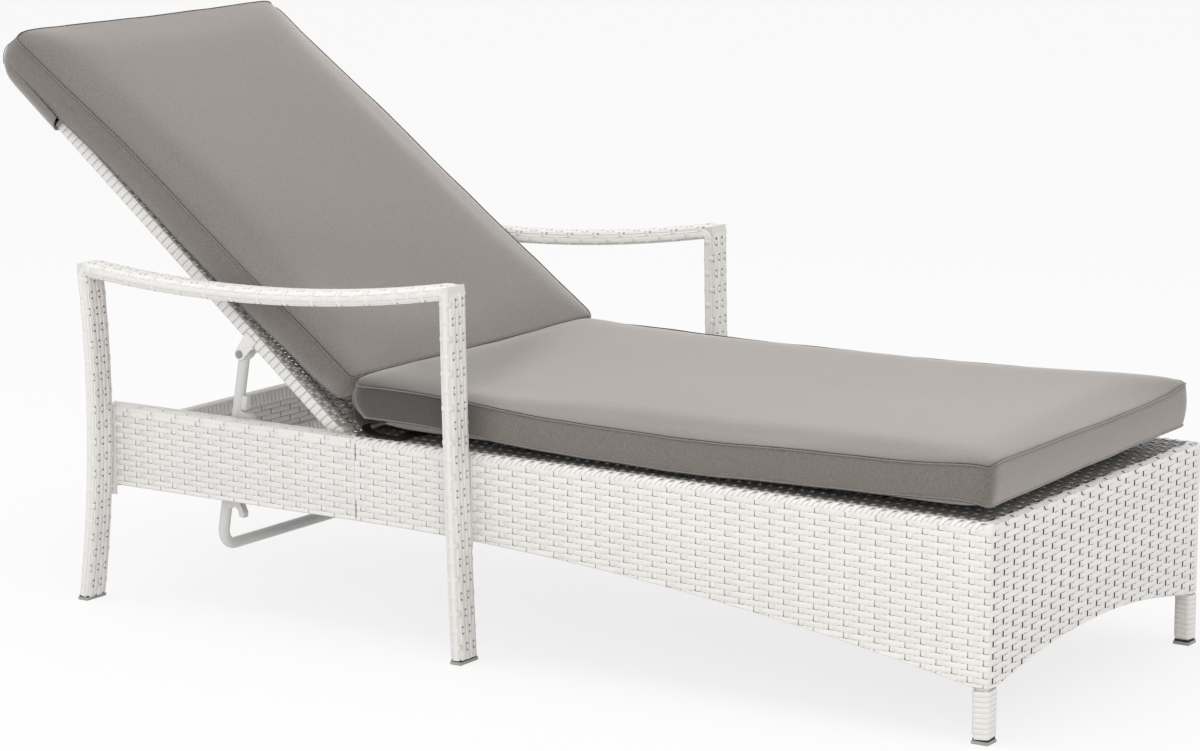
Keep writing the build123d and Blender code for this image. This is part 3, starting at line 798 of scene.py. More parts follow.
def makeTopCorners(v):
    # rounded wrap at the two front corners
    half = v["size"] / 2
    for name, side in (("topCornerRight", -1), ("topCornerLeft", 1)):
        middle = Vector((frontX - v["in"], side * (halfWidth - v["in"]), deckTop - v["in"]))
        reach = Vector((half, half, half))
        knob = blockOf(name, middle - reach, middle + reach)
        with editing(knob):
            bpy.ops.mesh.select_all(action="SELECT")
            bpy.ops.mesh.bevel(offset=v["round"], segments=4)
        lay, cross = strandMaps(knob)
        for loop in knob.data.loops:
            q = knob.data.vertices[loop.vertex_index].co
            lay[loop.index].uv = (q.y, q.x + q.z)
            cross[loop.index].uv = (0, 0)
        smooth(knob)
        dress(knob, "base", legWhite, "wicker")


topCorner = {"size": 0.0170, "in": 0.0090, "round": 0.0055}
makeRolledRows(edgeRoll)
makeTopCorners(topCorner)
makeEdgeRolls(edgeRoll)
print("seat weave and edges made")

# binding: strands that run along the lower apron edges, round the tube
binding = {
    "row": 0.0086, "width": 0.0083, "thick": 0.0012, "strands": 4,
    "tube": 0.0085,        # from the middle of the tube to the middle of the strand
    "tubeIn": 0.0110,      # middle of the tube inside the outer face
    "tubeUp": 0.0080,      # and above the edge
    "from": -0.62,         # angle of the first strand, from straight out
    "rearEnd": 1.612, "rearRun": 0.705, "steps": (260, 40),
}


def plainStrands(name, v, length, steps):
    # strands side by side, in short lengths so that they can be bent
    bar = strandUnit(name, v["width"], v["thick"], evenly(length / steps, 1))
    repeat(bar, (length / steps, 0, 0), steps, True)
    repeat(bar, (0, v["row"], 0), v["strands"])
    return bar


def bindPlace(v, p, n, low, y, w):
    a = v["from"] - y / v["tube"]
    out = (v["tube"] + w) * math.cos(a) - v["tubeIn"]
    up = (v["tube"] + w) * math.sin(a) + v["tubeUp"]
    return Vector((p[0] + n[0] * out, p[1] + n[1] * out, low + up))


def makeBinding(v):
    walk, length = baseWalk(baseWeave)
    front = plainStrands("edgeBinding", v, length, v["steps"][0])

    def placeFront(u, y, w):
        p, n = walk(u)
        return bindPlace(v, p, n, lowOnWalk(p), y, w)

    mold(front, placeFront)
    smooth(front)
    dress(front, "base", woundWhite, "wicker")
    rear = plainStrands("rearBindingRight", v, v["rearRun"], v["steps"][1])
    end = v["rearEnd"]
    mold(rear, lambda u, y, w: bindPlace(v, (atX(end) + u, -halfWidth), (0, -1), sideLow(end - u), y, w))
    smooth(rear)
    dressPair(rear, "rearBindingLeft", "base", woundWhite, "wicker")


makeBinding(binding)


# a rounded rectangle: place and direction out at a length along its outline
def roundRect(w, h, r):
    runs = (w - 2 * r, h - 2 * r)
    bend = r * math.pi / 2
    total = 2 * sum(runs) + 4 * bend

    def at(p):
        p = p % total
        for side in range(4):
            run = runs[side % 2]
            turn = -side * math.pi / 2
            c, s = math.cos(turn), math.sin(turn)
            half = (w / 2, h / 2) if side % 2 == 0 else (h / 2, w / 2)
            if p < run:
                a, b, na, nb = p - run / 2, half[1], 0, 1
            elif p < run + bend:
                t = (p - run) / r
                na, nb = math.sin(t), math.cos(t)
                a, b = run / 2 + r * na, half[1] - r + r * nb
            else:
                p -= run + bend
                continue
            return c * a - s * b, s * a + c * b, c * na - s * nb, s * na + c * nb
        return -w / 2 + r, h / 2, 0, 1

    return at, total


# arm loops: flat tube covered with lengthwise strands and spaced cross strands
armLoop = {
    "frontLeg": ((0.0, 0.884), (0.300, 0.896), (0.573, 0.902)),
    "rest": ((0.892, 0.573), (1.330, 0.531), (1.627, 0.547)),
    "rearLeg": ((0.0, 1.629), (0.300, 1.604), (0.547, 1.617)),
    "corner": 0.013,
    "foot": 0.0068,
    "middle": 0.376,
    "wide": 0.0462, "thin": 0.0182, "round": 0.0040,
    "strands": 14, "post": 0.0260, "postWidth": 0.0075,
    "thick": 0.0012, "bulge": 0.0001, "dip": 0.00095, "slit": 0.0002, "slope": 0.0044, "step": 0.0055,
    "crown": (0.0042, 0.0012),  # wide sides are a little round, most so on the rest
    "proud": 0.0005,       # cross strands stand out where they go round the narrow sides
}


def through(three, t):
    # smooth curve through three points
    (a, fa), (b, fb), (c, fc) = three
    return (fa * (t - b) * (t - c) / (a - b) / (a - c) + fb * (t - a) * (t - c) / (b - a) / (b - c)
            + fc * (t - a) * (t - b) / (c - a) / (c - b))


def armLine(v):
    # middle line of the loop, foot to foot, as distance behind the front and height
    r = v["corner"]
    pts = []

    def turn(a, mid, b):
        for i in range(1, 12):
            t = i / 12
            pts.append(tuple((1 - t) ** 2 * a[k] + 2 * t * (1 - t) * mid[k] + t * t * b[k] for k in (0, 1)))

    dF, dR = v["frontLeg"][-1][1], v["rearLeg"][-1][1]
    topF, topR = through(v["rest"], dF), through(v["rest"], dR)
    for i in range(141):
        z = v["foot"] + (topF - r - v["foot"]) * i / 140
        pts.append((through(v["frontLeg"], z), z))
    begin = (dF + r, through(v["rest"], dF + r))
    turn(pts[-1], (dF, topF), begin)
    for i in range(181):
        d = begin[0] + (dR - r - begin[0]) * i / 180
        pts.append((d, through(v["rest"], d)))
    z = topR - r
    turn(pts[-1], (dR, topR), (through(v["rearLeg"], z), z))
    for i in range(141):
        h = z + (v["foot"] - z) * i / 140
        pts.append((through(v["rearLeg"], h), h))
    pts = [(atX(d), h) for d, h in pts]
    run = [0]
    for a, b in zip(pts, pts[1:]):
        run.append(run[-1] + math.dist(a, b))

    def at(u):
        u = min(max(u, 0), run[-1] - 1e-9)
        i = min(bisect.bisect_right(run, u) - 1, len(pts) - 2)
        t = (u - run[i]) / (run[i + 1] - run[i])
        tan = [None, None]
        for k, j in enumerate((i, i + 1)):
            lo, hi = pts[max(j - 1, 0)], pts[min(j + 1, len(pts) - 1)]
            tan[k] = ((hi[0] - lo[0]) / math.dist(lo, hi), (hi[1] - lo[1]) / math.dist(lo, hi))
        x = pts[i][0] * (1 - t) + pts[i + 1][0] * t
        z = pts[i][1] * (1 - t) + pts[i + 1][1] * t
        tx = tan[0][0] * (1 - t) + tan[1][0] * t
        tz = tan[0][1] * (1 - t) + tan[1][1] * t
        return x, z, tx, tz

    return at, run[-1]


def plainSides(cover, v, ring):
    # on the narrow sides the lengthwise strands stay flat and the cross strands lie over them
    cross = cover.data.uv_layers["crossing"]
    done = set()
    for loop in cover.data.loops:
        q = cover.data.vertices[loop.vertex_index]
        if abs(ring(q.co.y)[2]) < 0.5:
            continue
        deep = cross.data[loop.index].uv.x
        if q.index not in done:
            done.add(q.index)
            if deep > -0.5:
                q.co.z += v["dip"] * max(deep, 0)
            else:
                q.co.z = min(max(q.co.z, -v["thick"] / 2), v["thick"] / 2) + v["proud"]
        # no dives or sunk ends are marked on the narrow sides, so no slit shade is painted there
        cross.data[loop.index].uv.x = 0 if deep > -0.5 else -1


def makeArm(v):
    line, length = armLine(v)
    ring, around = roundRect(v["wide"], v["thin"], v["round"])
    row = around / v["strands"]
    places = [(u, line(u)) for u in (length * i / 4000 for i in range(4000))]
    bends = next(u for u, q in places if q[3] < -q[2]), next(u for u, q in places if q[3] < q[2])
    post = (bends[1] - bends[0]) / round((bends[1] - bends[0]) / v["post"])
    shift = math.ceil(bends[0] / post) * post - bends[0]
    cover = flatWeave("armWeaveRight", dict(v, post=post, length=length + shift, rows=v["strands"], row=row,
                                            rowWidth=row * 0.985))
    cutAt(cover, (shift, 0, 0), (-1, 0, 0))
    plainSides(cover, v, ring)

    def place(u, y, w):
        x, z, tx, tz = line(u - shift)
        a, b, na, nb = ring(y)
        level = v["crown"][1] + (v["crown"][0] - v["crown"][1]) * min(abs(tx), 1) ** 2
        crown = math.copysign(level if b > 0 else v["crown"][1], b)
        n = b + nb * w + crown * max(1 - (2 * a / v["wide"]) ** 2, 0)
        return Vector((x + tz * n, -v["middle"] - a - na * w, z - tx * n))

    mold(cover, place)
    smooth(cover)
    dressPair(cover, "armWeaveLeft", "base", armWhite, "wicker", "arm_wicker_right", "arm_wicker_left")


makeArm(armLoop)
print("arm loops made")


# strands wound crosswise round a bar
def wound(name, v, place):
    ring, around = roundRect(v["wide"], v["deep"], v["round"])
    turns = int(v["length"] / v["pitch"])
    bar = strandUnit(name, v["width"], v["thick"], evenly(around, v["steps"]))
    repeat(bar, (around, 0, 0), turns, True)

    def spot(x, y, w):
        a, b, na, nb = ring(x)
        return place(x / around * v["pitch"] + y + v["pitch"] / 2, a + na * w, b + nb * w)

    mold(bar, spot)
    return smooth(bar)


legWind = {"wide": 0.0262, "deep": 0.0262, "round": 0.004, "pitch": 0.0078, "width": 0.0077,
           "thick": 0.0012, "steps": 24, "length": 0.0715, "foot": 0.0066, "at": (0.014, 0.334)}
backWind = {"wide": 0.0222, "deep": 0.0222, "round": 0.004, "pitch": 0.0131, "width": 0.0127,
            "thick": 0.0012, "steps": 24, "length": 0.746, "first": -0.012, "across": 0.307}
rearWind = {"wide": 0.0228, "deep": 0.0228, "round": 0.004, "pitch": 0.0105, "width": 0.0101,
            "thick": 0.0012, "steps": 24, "length": 0.640, "at": 1.601, "levels": (0.269, 0.197)}


def backPoint(s, y, n):
    # along the back, across, and out of it, in its resting notch
    c, k = math.cos(restAngle), math.sin(restAngle)
    return Vector((hinge.x - s * c + n * k, y, hinge.z + s * k + n * c))


def makeWindings():
    leg = wound("legWindRight", legWind, lambda a, p, q: Vector((
        atX(legWind["at"][0]) + p, -legWind["at"][1] - q, legWind["foot"] + a)))
    dressPair(leg, "legWindLeft", "base", legWhite, "wicker", "front_leg_wrap_right", "front_leg_wrap_left")
    rail = wound("backWindRight", backWind, lambda a, p, q: backPoint(
        a + backWind["first"], -backWind["across"] - p, q))
    dressPair(rail, "backWindLeft", "backrest", railWhite, "wicker", "back_rail_wicker_right",
              "back_rail_wicker_left")
    for name, z in zip(("rearWindTop", "rearWindLow"), rearWind["levels"]):
        bar = wound(name, rearWind, lambda a, p, q: Vector((
            atX(rearWind["at"]) + p, a - rearWind["length"] / 2, z + q)))
        dress(bar, "base", woundWhite, "wicker")


makeWindings()

# woven back and the woven band at the head end
backWeave = dict(deckWeave, first=-0.010, last=0.735, half=0.296, level=0.0106)
bandWeave = dict(deckWeave, half=0.318, low=0.209, high=0.257, rows=5)


def makeBackWeave(v):
    wovenPanel("backWeave", v, lambda u, y, w: backPoint(v["first"] + y, u - v["half"], v["level"] + w),
               "backrest", backWhite, "back_deck")


def makeBandWeave(v):
    # one sheet faces out, the other in
    row = (v["high"] - v["low"]) / v["rows"]
    for name, d, side, look, *stands in (("headBandWeave", 1.5995, -1, strandWhite, "rear_apron"),
                                         ("headBandInside", 1.5955, 1, bandWhite)):
        wovenPanel(name, dict(v, row=row, rowWidth=row * 0.96), lambda u, y, w: Vector((
            atX(d) + side * w, side * (u - v["half"]), v["low"] + y)), "base", look, *stands)


# pairs of short cross strands on top of the back rails, over lengthwise ones
railTop = {"strands": 3, "width": 0.0078, "thick": 0.0011, "level": 0.0121, "first": 0.016, "last": 0.728,
           "bar": 0.0105, "barWidth": 0.0042, "barRise": 0.0010, "period": 0.0195, "pairGap": 0.0060,
           "columns": (0.3015, 0.3125), "barFrom": 0.004, "row": 0.0080, "steps": 40, "across": 0.2992,
           "ease": 0.0018, "sunk": 0.0010}  # a cross strand turns down at its ends


def makeRailTops(v):
    run = v["last"] - v["first"]
    under = plainStrands("railTopStrandsRight", v, run, v["steps"])
    smooth(mold(under, lambda x, y, z: backPoint(v["first"] + x, -v["across"] - y, v["level"] + z)))
    shape = [(0, -v["sunk"], 0.3), (v["ease"], 0, 0),
             (v["bar"] - v["ease"], 0, 0), (v["bar"], -v["sunk"], 0.3)]
    bars = []
    for k, middle in enumerate(v["columns"]):
        bar = strandUnit("railTopBars", v["barWidth"], v["thick"], shape)
        repeat(bar, (0, v["pairGap"], 0), 2)
        repeat(bar, (0, v["period"], 0), int(run / v["period"]))
        shift = v["first"] + v["barFrom"] + k * v["period"] / 2
        mold(bar, lambda x, y, z: backPoint(shift + y, -middle + v["bar"] / 2 - x,
                                            v["level"] + v["barRise"] + z))
        bars.append(bar)
    whole = smooth(joinAll("railTopBarsRight", bars))
    # the strands under the bars are painted darker (painted shade) and the bars paler (painted highlight)
    dressPair(under, "railTopStrandsLeft", "backrest", topWhite, "wicker")
    dressPair(whole, "railTopBarsLeft", "backrest", barHighlight, "wicker")


makeRailTops(railTop)
makeBackWeave(backWeave)
makeBandWeave(bandWeave)
print("back and head end made")

# cushions: a boxed cover on a grid, swollen by cloth pressure against its seams
# edge gives the height of the upper side seams along the cushion, crown that of its middle
seatPad = {
    "name": "seatPad", "length": 1.1090, "width": 0.678, "boxing": 0.050, "grid": 0.0125,
    "corners": (0.016, 0.016), "pullIn": 0.0075, "pullEnd": (0.002, -0.001), "tuck": (0.003, 0.014),
    "wave": 0.0008,
    # painted shade towards the fold between the cushions: how dark at most, where it starts, its slant across
    # and its reach
    "wear": (0.70, 0.955, 0.40, 0.10), "flat": 14, "tilt": 1.3,
    "farRise": ((0.0, 0.002), (0.15, 0.006), (0.35, 0.0085), (0.6, 0.007), (0.9, 0.004), (1.12, 0.003)),
    "thin": (-0.006, 0.15), "farEdge": 0.75, "plain": None, "lipCorners": (False, True),
    "narrow": (0.006, 0.022),   # near and far side drawn in towards the foot end
    "lift": 0.0165, "liftLow": 0.0100,  # far foot corner stands up a little
    "dent": (0.014, 1.000, 0.32, 0.17, 0.075),  # depth, place, slant, fall before it and rise behind it
    "edge": ((0.0, 0.4000), (0.042, 0.3972), (0.092, 0.3934), (0.152, 0.3902), (0.252, 0.3880),
             (0.322, 0.3860), (0.402, 0.3832), (0.472, 0.3814), (0.552, 0.3810), (0.632, 0.3822),
             (0.712, 0.3838), (0.792, 0.3872), (0.872, 0.3925), (0.952, 0.3978), (1.032, 0.4005),
             (1.112, 0.4005)),
    "crown": ((0.0, 0.4165), (0.10, 0.4155), (0.25, 0.4110), (0.5, 0.4080), (0.82, 0.4070), (0.98, 0.4080),
              (1.11, 0.4140)),
    "ends": (0.4025, 0.4120), "floor": 0.3240, "least": 0.3222, "bulge": (0.003, 0.008),
    "soft": 0.075, "puff": 0.012, "pressure": 4.0, "cap": 0.005,
}
backPad = {
    "name": "backPad", "length": 0.8400, "width": 0.678, "boxing": 0.050, "grid": 0.0125,
    "corners": (0.010, 0.020), "pullIn": 0.0075, "pullEnd": (0.0, 0.003), "tuck": (-0.004, 0.004),
    "wave": 0.0008,
    "wear": (0, 0, 0, 1), "flat": 6, "tilt": 0,
    "farRise": ((0.0, 0.003), (0.2, 0.007), (0.5, 0.008), (0.84, 0.004)),
    "thin": (0.009, 0.10), "farEdge": 0.5, "plain": 0.69, "lipCorners": (True, True),
    "narrow": (0, 0), "lift": 0, "liftLow": 0, "dent": (0.006, 0.115, -0.35, 0.06, 0.12),
    "edge": ((0.0, 0.1030), (0.03, 0.1005), (0.07, 0.0985), (0.12, 0.0955), (0.17, 0.0905), (0.22, 0.0866),
             (0.27, 0.0842), (0.32, 0.0825), (0.37, 0.0805), (0.42, 0.0792), (0.47, 0.0780), (0.52, 0.0768),
             (0.57, 0.0748), (0.62, 0.0715), (0.67, 0.0678), (0.72, 0.0640), (0.77, 0.0610), (0.84, 0.0590)),
    "crown": ((0.0, 0.1095), (0.4, 0.1015), (0.84, 0.0815)),
    "ends": (0.1035, 0.0700), "floor": None, "least": 0.0147, "bulge": (0.005, 0.006),
    "soft": 0.075, "puff": 0.012, "pressure": 4.0, "cap": 0.005,
}


def curveAt(table, x):
    # smooth line through given points
    i = min(max(bisect.bisect_right([q[0] for q in table], x) - 1, 0), len(table) - 2)
    (a, fa), (b, fb) = table[i], table[i + 1]
    lo, hi = table[max(i - 1, 0)], table[min(i + 2, len(table) - 1)]
    ga, gb = (fb - lo[1]) / (b - lo[0]), (hi[1] - fa) / (hi[0] - a)
    t = min(max((x - a) / (b - a), 0), 1)
    w = b - a
    return ((2 * t ** 3 - 3 * t * t + 1) * fa + (t ** 3 - 2 * t * t + t) * w * ga
            + (3 * t * t - 2 * t ** 3) * fb + (t ** 3 - t * t) * w * gb)


def seamWave(u, phase):
    # small, slow unevenness of a sewn edge
    return (math.sin(19 * u + phase) + 0.6 * math.sin(41 * u + 2.3 * phase)
            + 0.35 * math.sin(73 * u + phase)) / 1.95


def padBlock(v):
    size = (v["length"], v["width"], v["boxing"])
    pad = blockOf(v["name"], (0, -v["width"] / 2, 0), (v["length"], v["width"] / 2, v["boxing"]))
    with editing(pad):
        for axis in range(3):
            pickEdges(pad, lambda e: edgeRuns(e, axis))
            bpy.ops.mesh.subdivide(number_cuts=max(2, round(size[axis] / v["grid"])) - 1)
    return pad


def roundCorners(x, y, hx, hy, r):
    # draws a square corner in to a round one
    dx, dy = abs(x) - (hx - r), abs(y) - (hy - r)
    if dx <= 0 or dy <= 0:
        return x, y
    most = max(dx, dy)
    scale = most / math.hypot(dx, dy)
    return math.copysign(hx - r + dx * scale, x), math.copysign(hy - r + dy * scale, y)


def rolled(inside, reach):
    # 1 at a seam, falling away in a round edge
    q = max(1 - inside / reach, 0)
    return 1 - math.sqrt(max(1 - q * q, 0))


liftRun = 0.45            # length of the raised far foot corner


def padTop(v, along, fx, y, rear):
    # height of the upper panel: level in the middle, falling to the seams
    mid = curveAt(v["crown"], along)
    side = max(mid - curveAt(v["edge"], along), 0)
    fall = 0
    if v["tilt"]:
        # the seat has sunk a little towards its near side
        fall = max(side - v["puff"], 0) * ((1 - y) / 2) ** v["tilt"]
    if y > 0:
        # the far side is less worn down
        first, last = curveAt(v["edge"], 0), curveAt(v["edge"], v["length"])
        even = first + (last - first) * along / v["length"]
        side += (max(mid - even, 0) - side) * v["farEdge"]
    end = max(mid - v["ends"][1 if rear else 0], 0)
    end *= (fx ** 14 + rolled((1 - fx) * v["length"] / 2, v["soft"])) / 2
    rise = v["lift"] * (max(y + 1, 0) / 2) ** 8 * max(1 - along / liftRun, 0) ** 1.5
    rise += curveAt(v["farRise"], along) * max(y, 0) ** 1.5
    if v["dent"]:
        depth, at, slant, before, behind = v["dent"]
        across = y * v["width"] / 2
        off = along - at - slant * across
        rise -= depth * math.exp(-(off / (before if off < 0 else behind)) ** 2) * (1 - abs(y) ** 8) / (
            1 + math.exp((across - 0.02) / 0.07))
    round1 = min(side, v["puff"])
    deep = 0 if v["tilt"] and y < 0 else side - round1
    side = fall + deep * abs(y) ** v["flat"] + round1 * rolled((1 - abs(y)) * v["width"] / 2, v["soft"])
    return mid - math.hypot(side, end) + rise


def padLow(v, along, fx, y, rear):
    # lower panel: hangs below its seams until it lies on what carries it
    thin = v["thin"][0] * max(1 - along / v["thin"][1], 0) ** 2 if v["thin"][1] else 0
    near, far = padTop(v, along, fx, -1, rear), padTop(v, along, fx, 1, rear)
    far -= (v["lift"] - v["liftLow"]) * max(1 - along / liftRun, 0) ** 1.5
    seam = near + (far - near) * (y + 1) / 2 - v["boxing"] + thin
    drop = 0.012 if v["floor"] is None else max(seam - v["floor"], 0)
    return seam - drop * (1 - abs(y) ** 12) * (1 - fx ** 22)


def padShape(pad, v):
    hx, hy, h = v["length"] / 2, v["width"] / 2, v["boxing"]
    seam = pad.vertex_groups.new(name="seam")
    pinned = []
    for p in pad.data.vertices:
        along, x, y, z = p.co.x, p.co.x - hx, p.co.y, p.co.z
        rear = x > 0
        onSide = abs(abs(x) - hx) < 1e-5 or abs(abs(y) - hy) < 1e-5
        atTop, atLow = abs(z - h) < 1e-5, abs(z) < 1e-5
        if onSide and (atTop or atLow):
            pinned.append(p.index)
        fx, fy = abs(x) / hx, abs(y) / hy
        up = z / h
        k = 1 if rear else 0
        high, low = padTop(v, along, fx, y / hy, rear), padLow(v, along, fx, y / hy, rear)
        x, y = roundCorners(x, y, hx, hy, v["corners"][k])
        belly = 4 * up * (1 - up) if onSide else 0
        outX, outY = math.copysign(1, x), math.copysign(1, y)
        x -= outX * (v["pullEnd"][k] * (1 - fy ** 2) * fx ** 6 - v["bulge"][k] * belly * fx ** 30)
        x -= outX * v["tuck"][k] * (1 - up) ** 3 * fx ** 8
        y -= outY * (v["pullIn"] * (1 - fx ** 2.5) * fy ** 6 - v["bulge"][0] * belly * fy ** 30)
        y -= outY * v["narrow"][1 if y > 0 else 0] * max(1 - along / 0.5, 0) ** 1.5 * fy ** 4
        z = low + (high - low) * up
        if onSide:
            phase = (2.1 if x > 0 else 0.4) + (1.7 if y > 0 else 0)
            z += v["wave"] * seamWave(x + 1.3 * y, phase + (0.8 if atTop else 0))
        p.co = (x + hx, y, z)
    seam.add(pinned, 1, "REPLACE")
    return set(pinned)


clothSettings = {"quality": 4, "mass": 0.4, "tension_stiffness": 12, "compression_stiffness": 12,
                 "shear_stiffness": 6, "bending_stiffness": 1.5, "use_pressure": True, "pin_stiffness": 1}
swellFrames = 20


def swell(pad, v, boxed):
    start = [p.co.copy() for p in pad.data.vertices]
    cloth = pad.modifiers.new("swell", "CLOTH")
    for key, value in clothSettings.items():
        setattr(cloth.settings, key, value)
    cloth.settings.uniform_pressure_force = v["pressure"]
    cloth.settings.vertex_group_mass = "seam"
    cloth.settings.effector_weights.gravity = 0
    cloth.collision_settings.use_collision = False
    cloth.point_cache.frame_start = 1
    cloth.point_cache.frame_end = swellFrames
    for f in range(1, swellFrames + 1):
        scene.frame_set(f)
    grown = pad.evaluated_get(bpy.context.evaluated_depsgraph_get())
    moved = [p.co.copy() for p in grown.data.vertices]
    pad.modifiers.remove(cloth)
    most = 0
    for p, a, b, sewn in zip(pad.data.vertices, start, moved, boxed):
        step = b - a
        most = max(most, step.length)
        if step.length > 1e-7:
            step *= v["cap"] * math.tanh(step.length / v["cap"]) / step.length
        if not sewn:
            p.co = a + step
            p.co.z = max(p.co.z, v["least"])
    scene.frame_set(1)
    print(v["name"], "swelled by up to", round(most * 1000, 1), "mm")


def seamLines(pad, pinned):
    # closed runs of points along the two sewn edges
    near = {}
    for e in pad.data.edges:
        a, b = e.vertices
        if a in pinned and b in pinned:
            near.setdefault(a, []).append(b)
            near.setdefault(b, []).append(a)
    left, lines = set(near), []
    while left:
        first = min(left)
        line, here, last = [first], first, None
        while True:
            left.discard(here)
            step = [n for n in near[here] if n != last and (n in left or (n == first and len(line) > 2))]
            if not step or step[0] == first:
                break
            last, here = here, step[0]
            line.append(here)
        lines.append([pad.data.vertices[i].co.copy() for i in line])
    return lines


def cornerLines(pad, v):
    # the four upright edges of the boxing, low to high
    runs = {}
    for p in pad.data.vertices:
        if min(p.co.x, v["length"] - p.co.x) < 1e-5 and v["width"] / 2 - abs(p.co.y) < 1e-5:
            runs.setdefault((p.co.x > 0.1, p.co.y > 0), []).append((p.co.z, p.index))
    return [[i for z, i in sorted(run)] for run in runs.values()]


def beadAlong(name, points, radius, sides=2, cyclic=True):
    # a fine round bead that follows a sewn edge
    curve = bpy.data.curves.new(name, "CURVE")
    curve.dimensions = "3D"
    curve.bevel_depth = radius
    curve.bevel_resolution = sides
    curve.resolution_u = 2
    spline = curve.splines.new("NURBS")
    spline.points.add(len(points) - 1)
    for q, p in zip(spline.points, points):
        q.co = (*p, 1)
    spline.order_u = 3
    spline.use_cyclic_u = cyclic
    spline.use_endpoint_u = not cyclic
    bead = bpy.data.objects.new(name, curve)
    scene.collection.objects.link(bead)
    pickOnly(bead)
    bpy.ops.object.convert(target="MESH")
    return bpy.context.object


def openRun(run, end):
    # the part of a closed run that lies before a given length, as one open run
    start = next(i for i in range(len(run)) if run[i].x <= end and run[i - 1].x > end)
    return [q for q in run[start:] + run[:start] if q.x <= end]


def creaseShadeAt(v, p):
    # painted shade: the cloth is painted darker towards the fold between the cushions, where shade falls
    most, start, slant, reach = v["wear"]
    t = min(max((p.x - start - slant * p.y) / reach, 0), 1)
    return most * t * t * (3 - 2 * t)


# sewn edges of a cushion: a fine lip, painted paler than the cloth as a highlight, with a near-black strip
# beside it as painted shade for the groove along the seam
sewing = {"lip": 0.0009, "thread": 0.0008, "upright": 0.0008, "crease": 0.75, "reach": 0.018,
          "lipOut": 0.0007, "lipRise": 0.0007, "threadIn": 0.0004, "threadRise": 1.3}


def sewnEdges(v, lines, corners):
    beads, shadeStrips = [], []
    halfX, halfY, reach = v["length"] / 2, v["width"] / 2, sewing["reach"]
    for line in lines:
        top = line is max(lines, key=lambda q: sum(p.z for p in q) / len(q))
        rise = sewing["lipRise"] if top else -sewing["lipRise"]
        lip, thread = [], []
        for p in line:
            x, flat = p.x - halfX, Vector((0, 0, 0))
            if abs(x) > halfX - reach:
                flat.x = math.copysign(1, x) * (abs(x) - halfX + reach) / reach
            if abs(p.y) > halfY - reach - v["pullIn"]:
                flat.y = math.copysign(1, p.y)
            flat = flat.normalized() if flat.length > 0 else flat
            lip.append(p + flat * sewing["lipOut"] - Vector((0, 0, rise)))
            thread.append(p - flat * sewing["threadIn"] + Vector((0, 0, rise * sewing["threadRise"])))
        closed = top or not v["plain"]
        if not closed:
            # no edging where the hood is sewn on
            lip, thread = (openRun(run, v["plain"]) for run in (lip, thread))
        beads.append(beadAlong(v["name"] + "Lip", lip, sewing["lip"], cyclic=closed))
        shadeStrips.append(beadAlong(v["name"] + "Thread", thread, sewing["thread"], cyclic=closed))
    for line in corners:
        if v["lipCorners"][1 if line[0].x > 0.1 else 0]:
            beads.append(beadAlong(v["name"] + "Lip", line, sewing["upright"], cyclic=False))
    return joinAll(v["name"] + "Piping", beads), joinAll(v["name"] + "SeamThread", shadeStrips)


def makePad(v, toWorld, body, *stands):
    pad = padBlock(v)
    upright = cornerLines(pad, v)
    boxed = [min(q.co.x, v["length"] - q.co.x, v["width"] / 2 - abs(q.co.y)) < 1e-5
             for q in pad.data.vertices]
    pinned = padShape(pad, v)
    swell(pad, v, boxed)
    lines = seamLines(pad, pinned)
    corners = [[pad.data.vertices[i].co.copy() for i in line] for line in upright]
    pad.vertex_groups.clear()
    round1 = pad.modifiers.new("soften", "SUBSURF")
    round1.levels = 1
    round1.render_levels = 1
    crease = pad.data.attributes.new("crease_edge", "FLOAT", "EDGE")
    for e in pad.data.edges:
        if e.vertices[0] in pinned and e.vertices[1] in pinned:
            crease.data[e.index].value = sewing["crease"]
    applyMod(pad, round1)
    # painted shade towards the fold, kept on each point
    wear = pad.data.attributes.new("wear", "FLOAT", "POINT")
    for q in pad.data.vertices:
        wear.data[q.index].value = creaseShadeAt(v, q.co)
    lips, thread = sewnEdges(v, lines, corners)
    for piece in (pad, lips, thread):
        mold(piece, lambda x, y, z: toWorld(Vector((x, y, z))))
        smooth(piece, 75)
    dress(pad, body, fabricGrey, "cushion_fabric", *stands)
    dress(lips, body, fabricLipHighlight, "cushion_fabric")
    dress(thread, body, shadeStripDark, "cushion_fabric")
    return pad, lips, thread


fabricLook = {
    "colour": (0.155, 0.139, 0.128),
    # the lip is paler than the cloth: a painted highlight along the piping
    "lip": (0.20, 0.186, 0.175),
    # near black: painted shade in the groove beside the seam
    "thread": (0.020, 0.018, 0.017),
    "yarn": 620,           # yarns in a metre, each way
    "rough": 0.88,
    "slub": 1.2,           # unevenness of the yarns in the surface
    "sheen": 0.80,         # the cloth is paler where it is seen at a low angle
}


def weaveGroup():
    # plain woven cloth: height from crossed sets of yarns
    g, given, result = groupOf("clothWeave", "Vector", ("Yarns",), "Height")
    sized = add(g, "VectorMath", {0: given["Vector"], "Scale": given["Yarns"]}, operation="SCALE")
    parts = add(g, "SeparateXYZ", {0: sized.outputs["Vector"]}).outputs
    waves = [calc(g, "SINE", parts[axis]) for axis in "XYZ"]
    both = calc(g, "ADD", calc(g, "ADD", waves[0], waves[1]), waves[2])
    fit = add(g, "MapRange", {"Value": both, "From Min": -2.5, "From Max": 2.5})
    g.links.new(fit.outputs["Result"], result)
    return g


clothWeave = weaveGroup()


def addWeave(t, where, yarns):
    weave = add(t, "Group", {"Yarns": yarns * 2 * math.pi, "Vector": where}, node_tree=clothWeave)
    return weave.outputs["Height"]


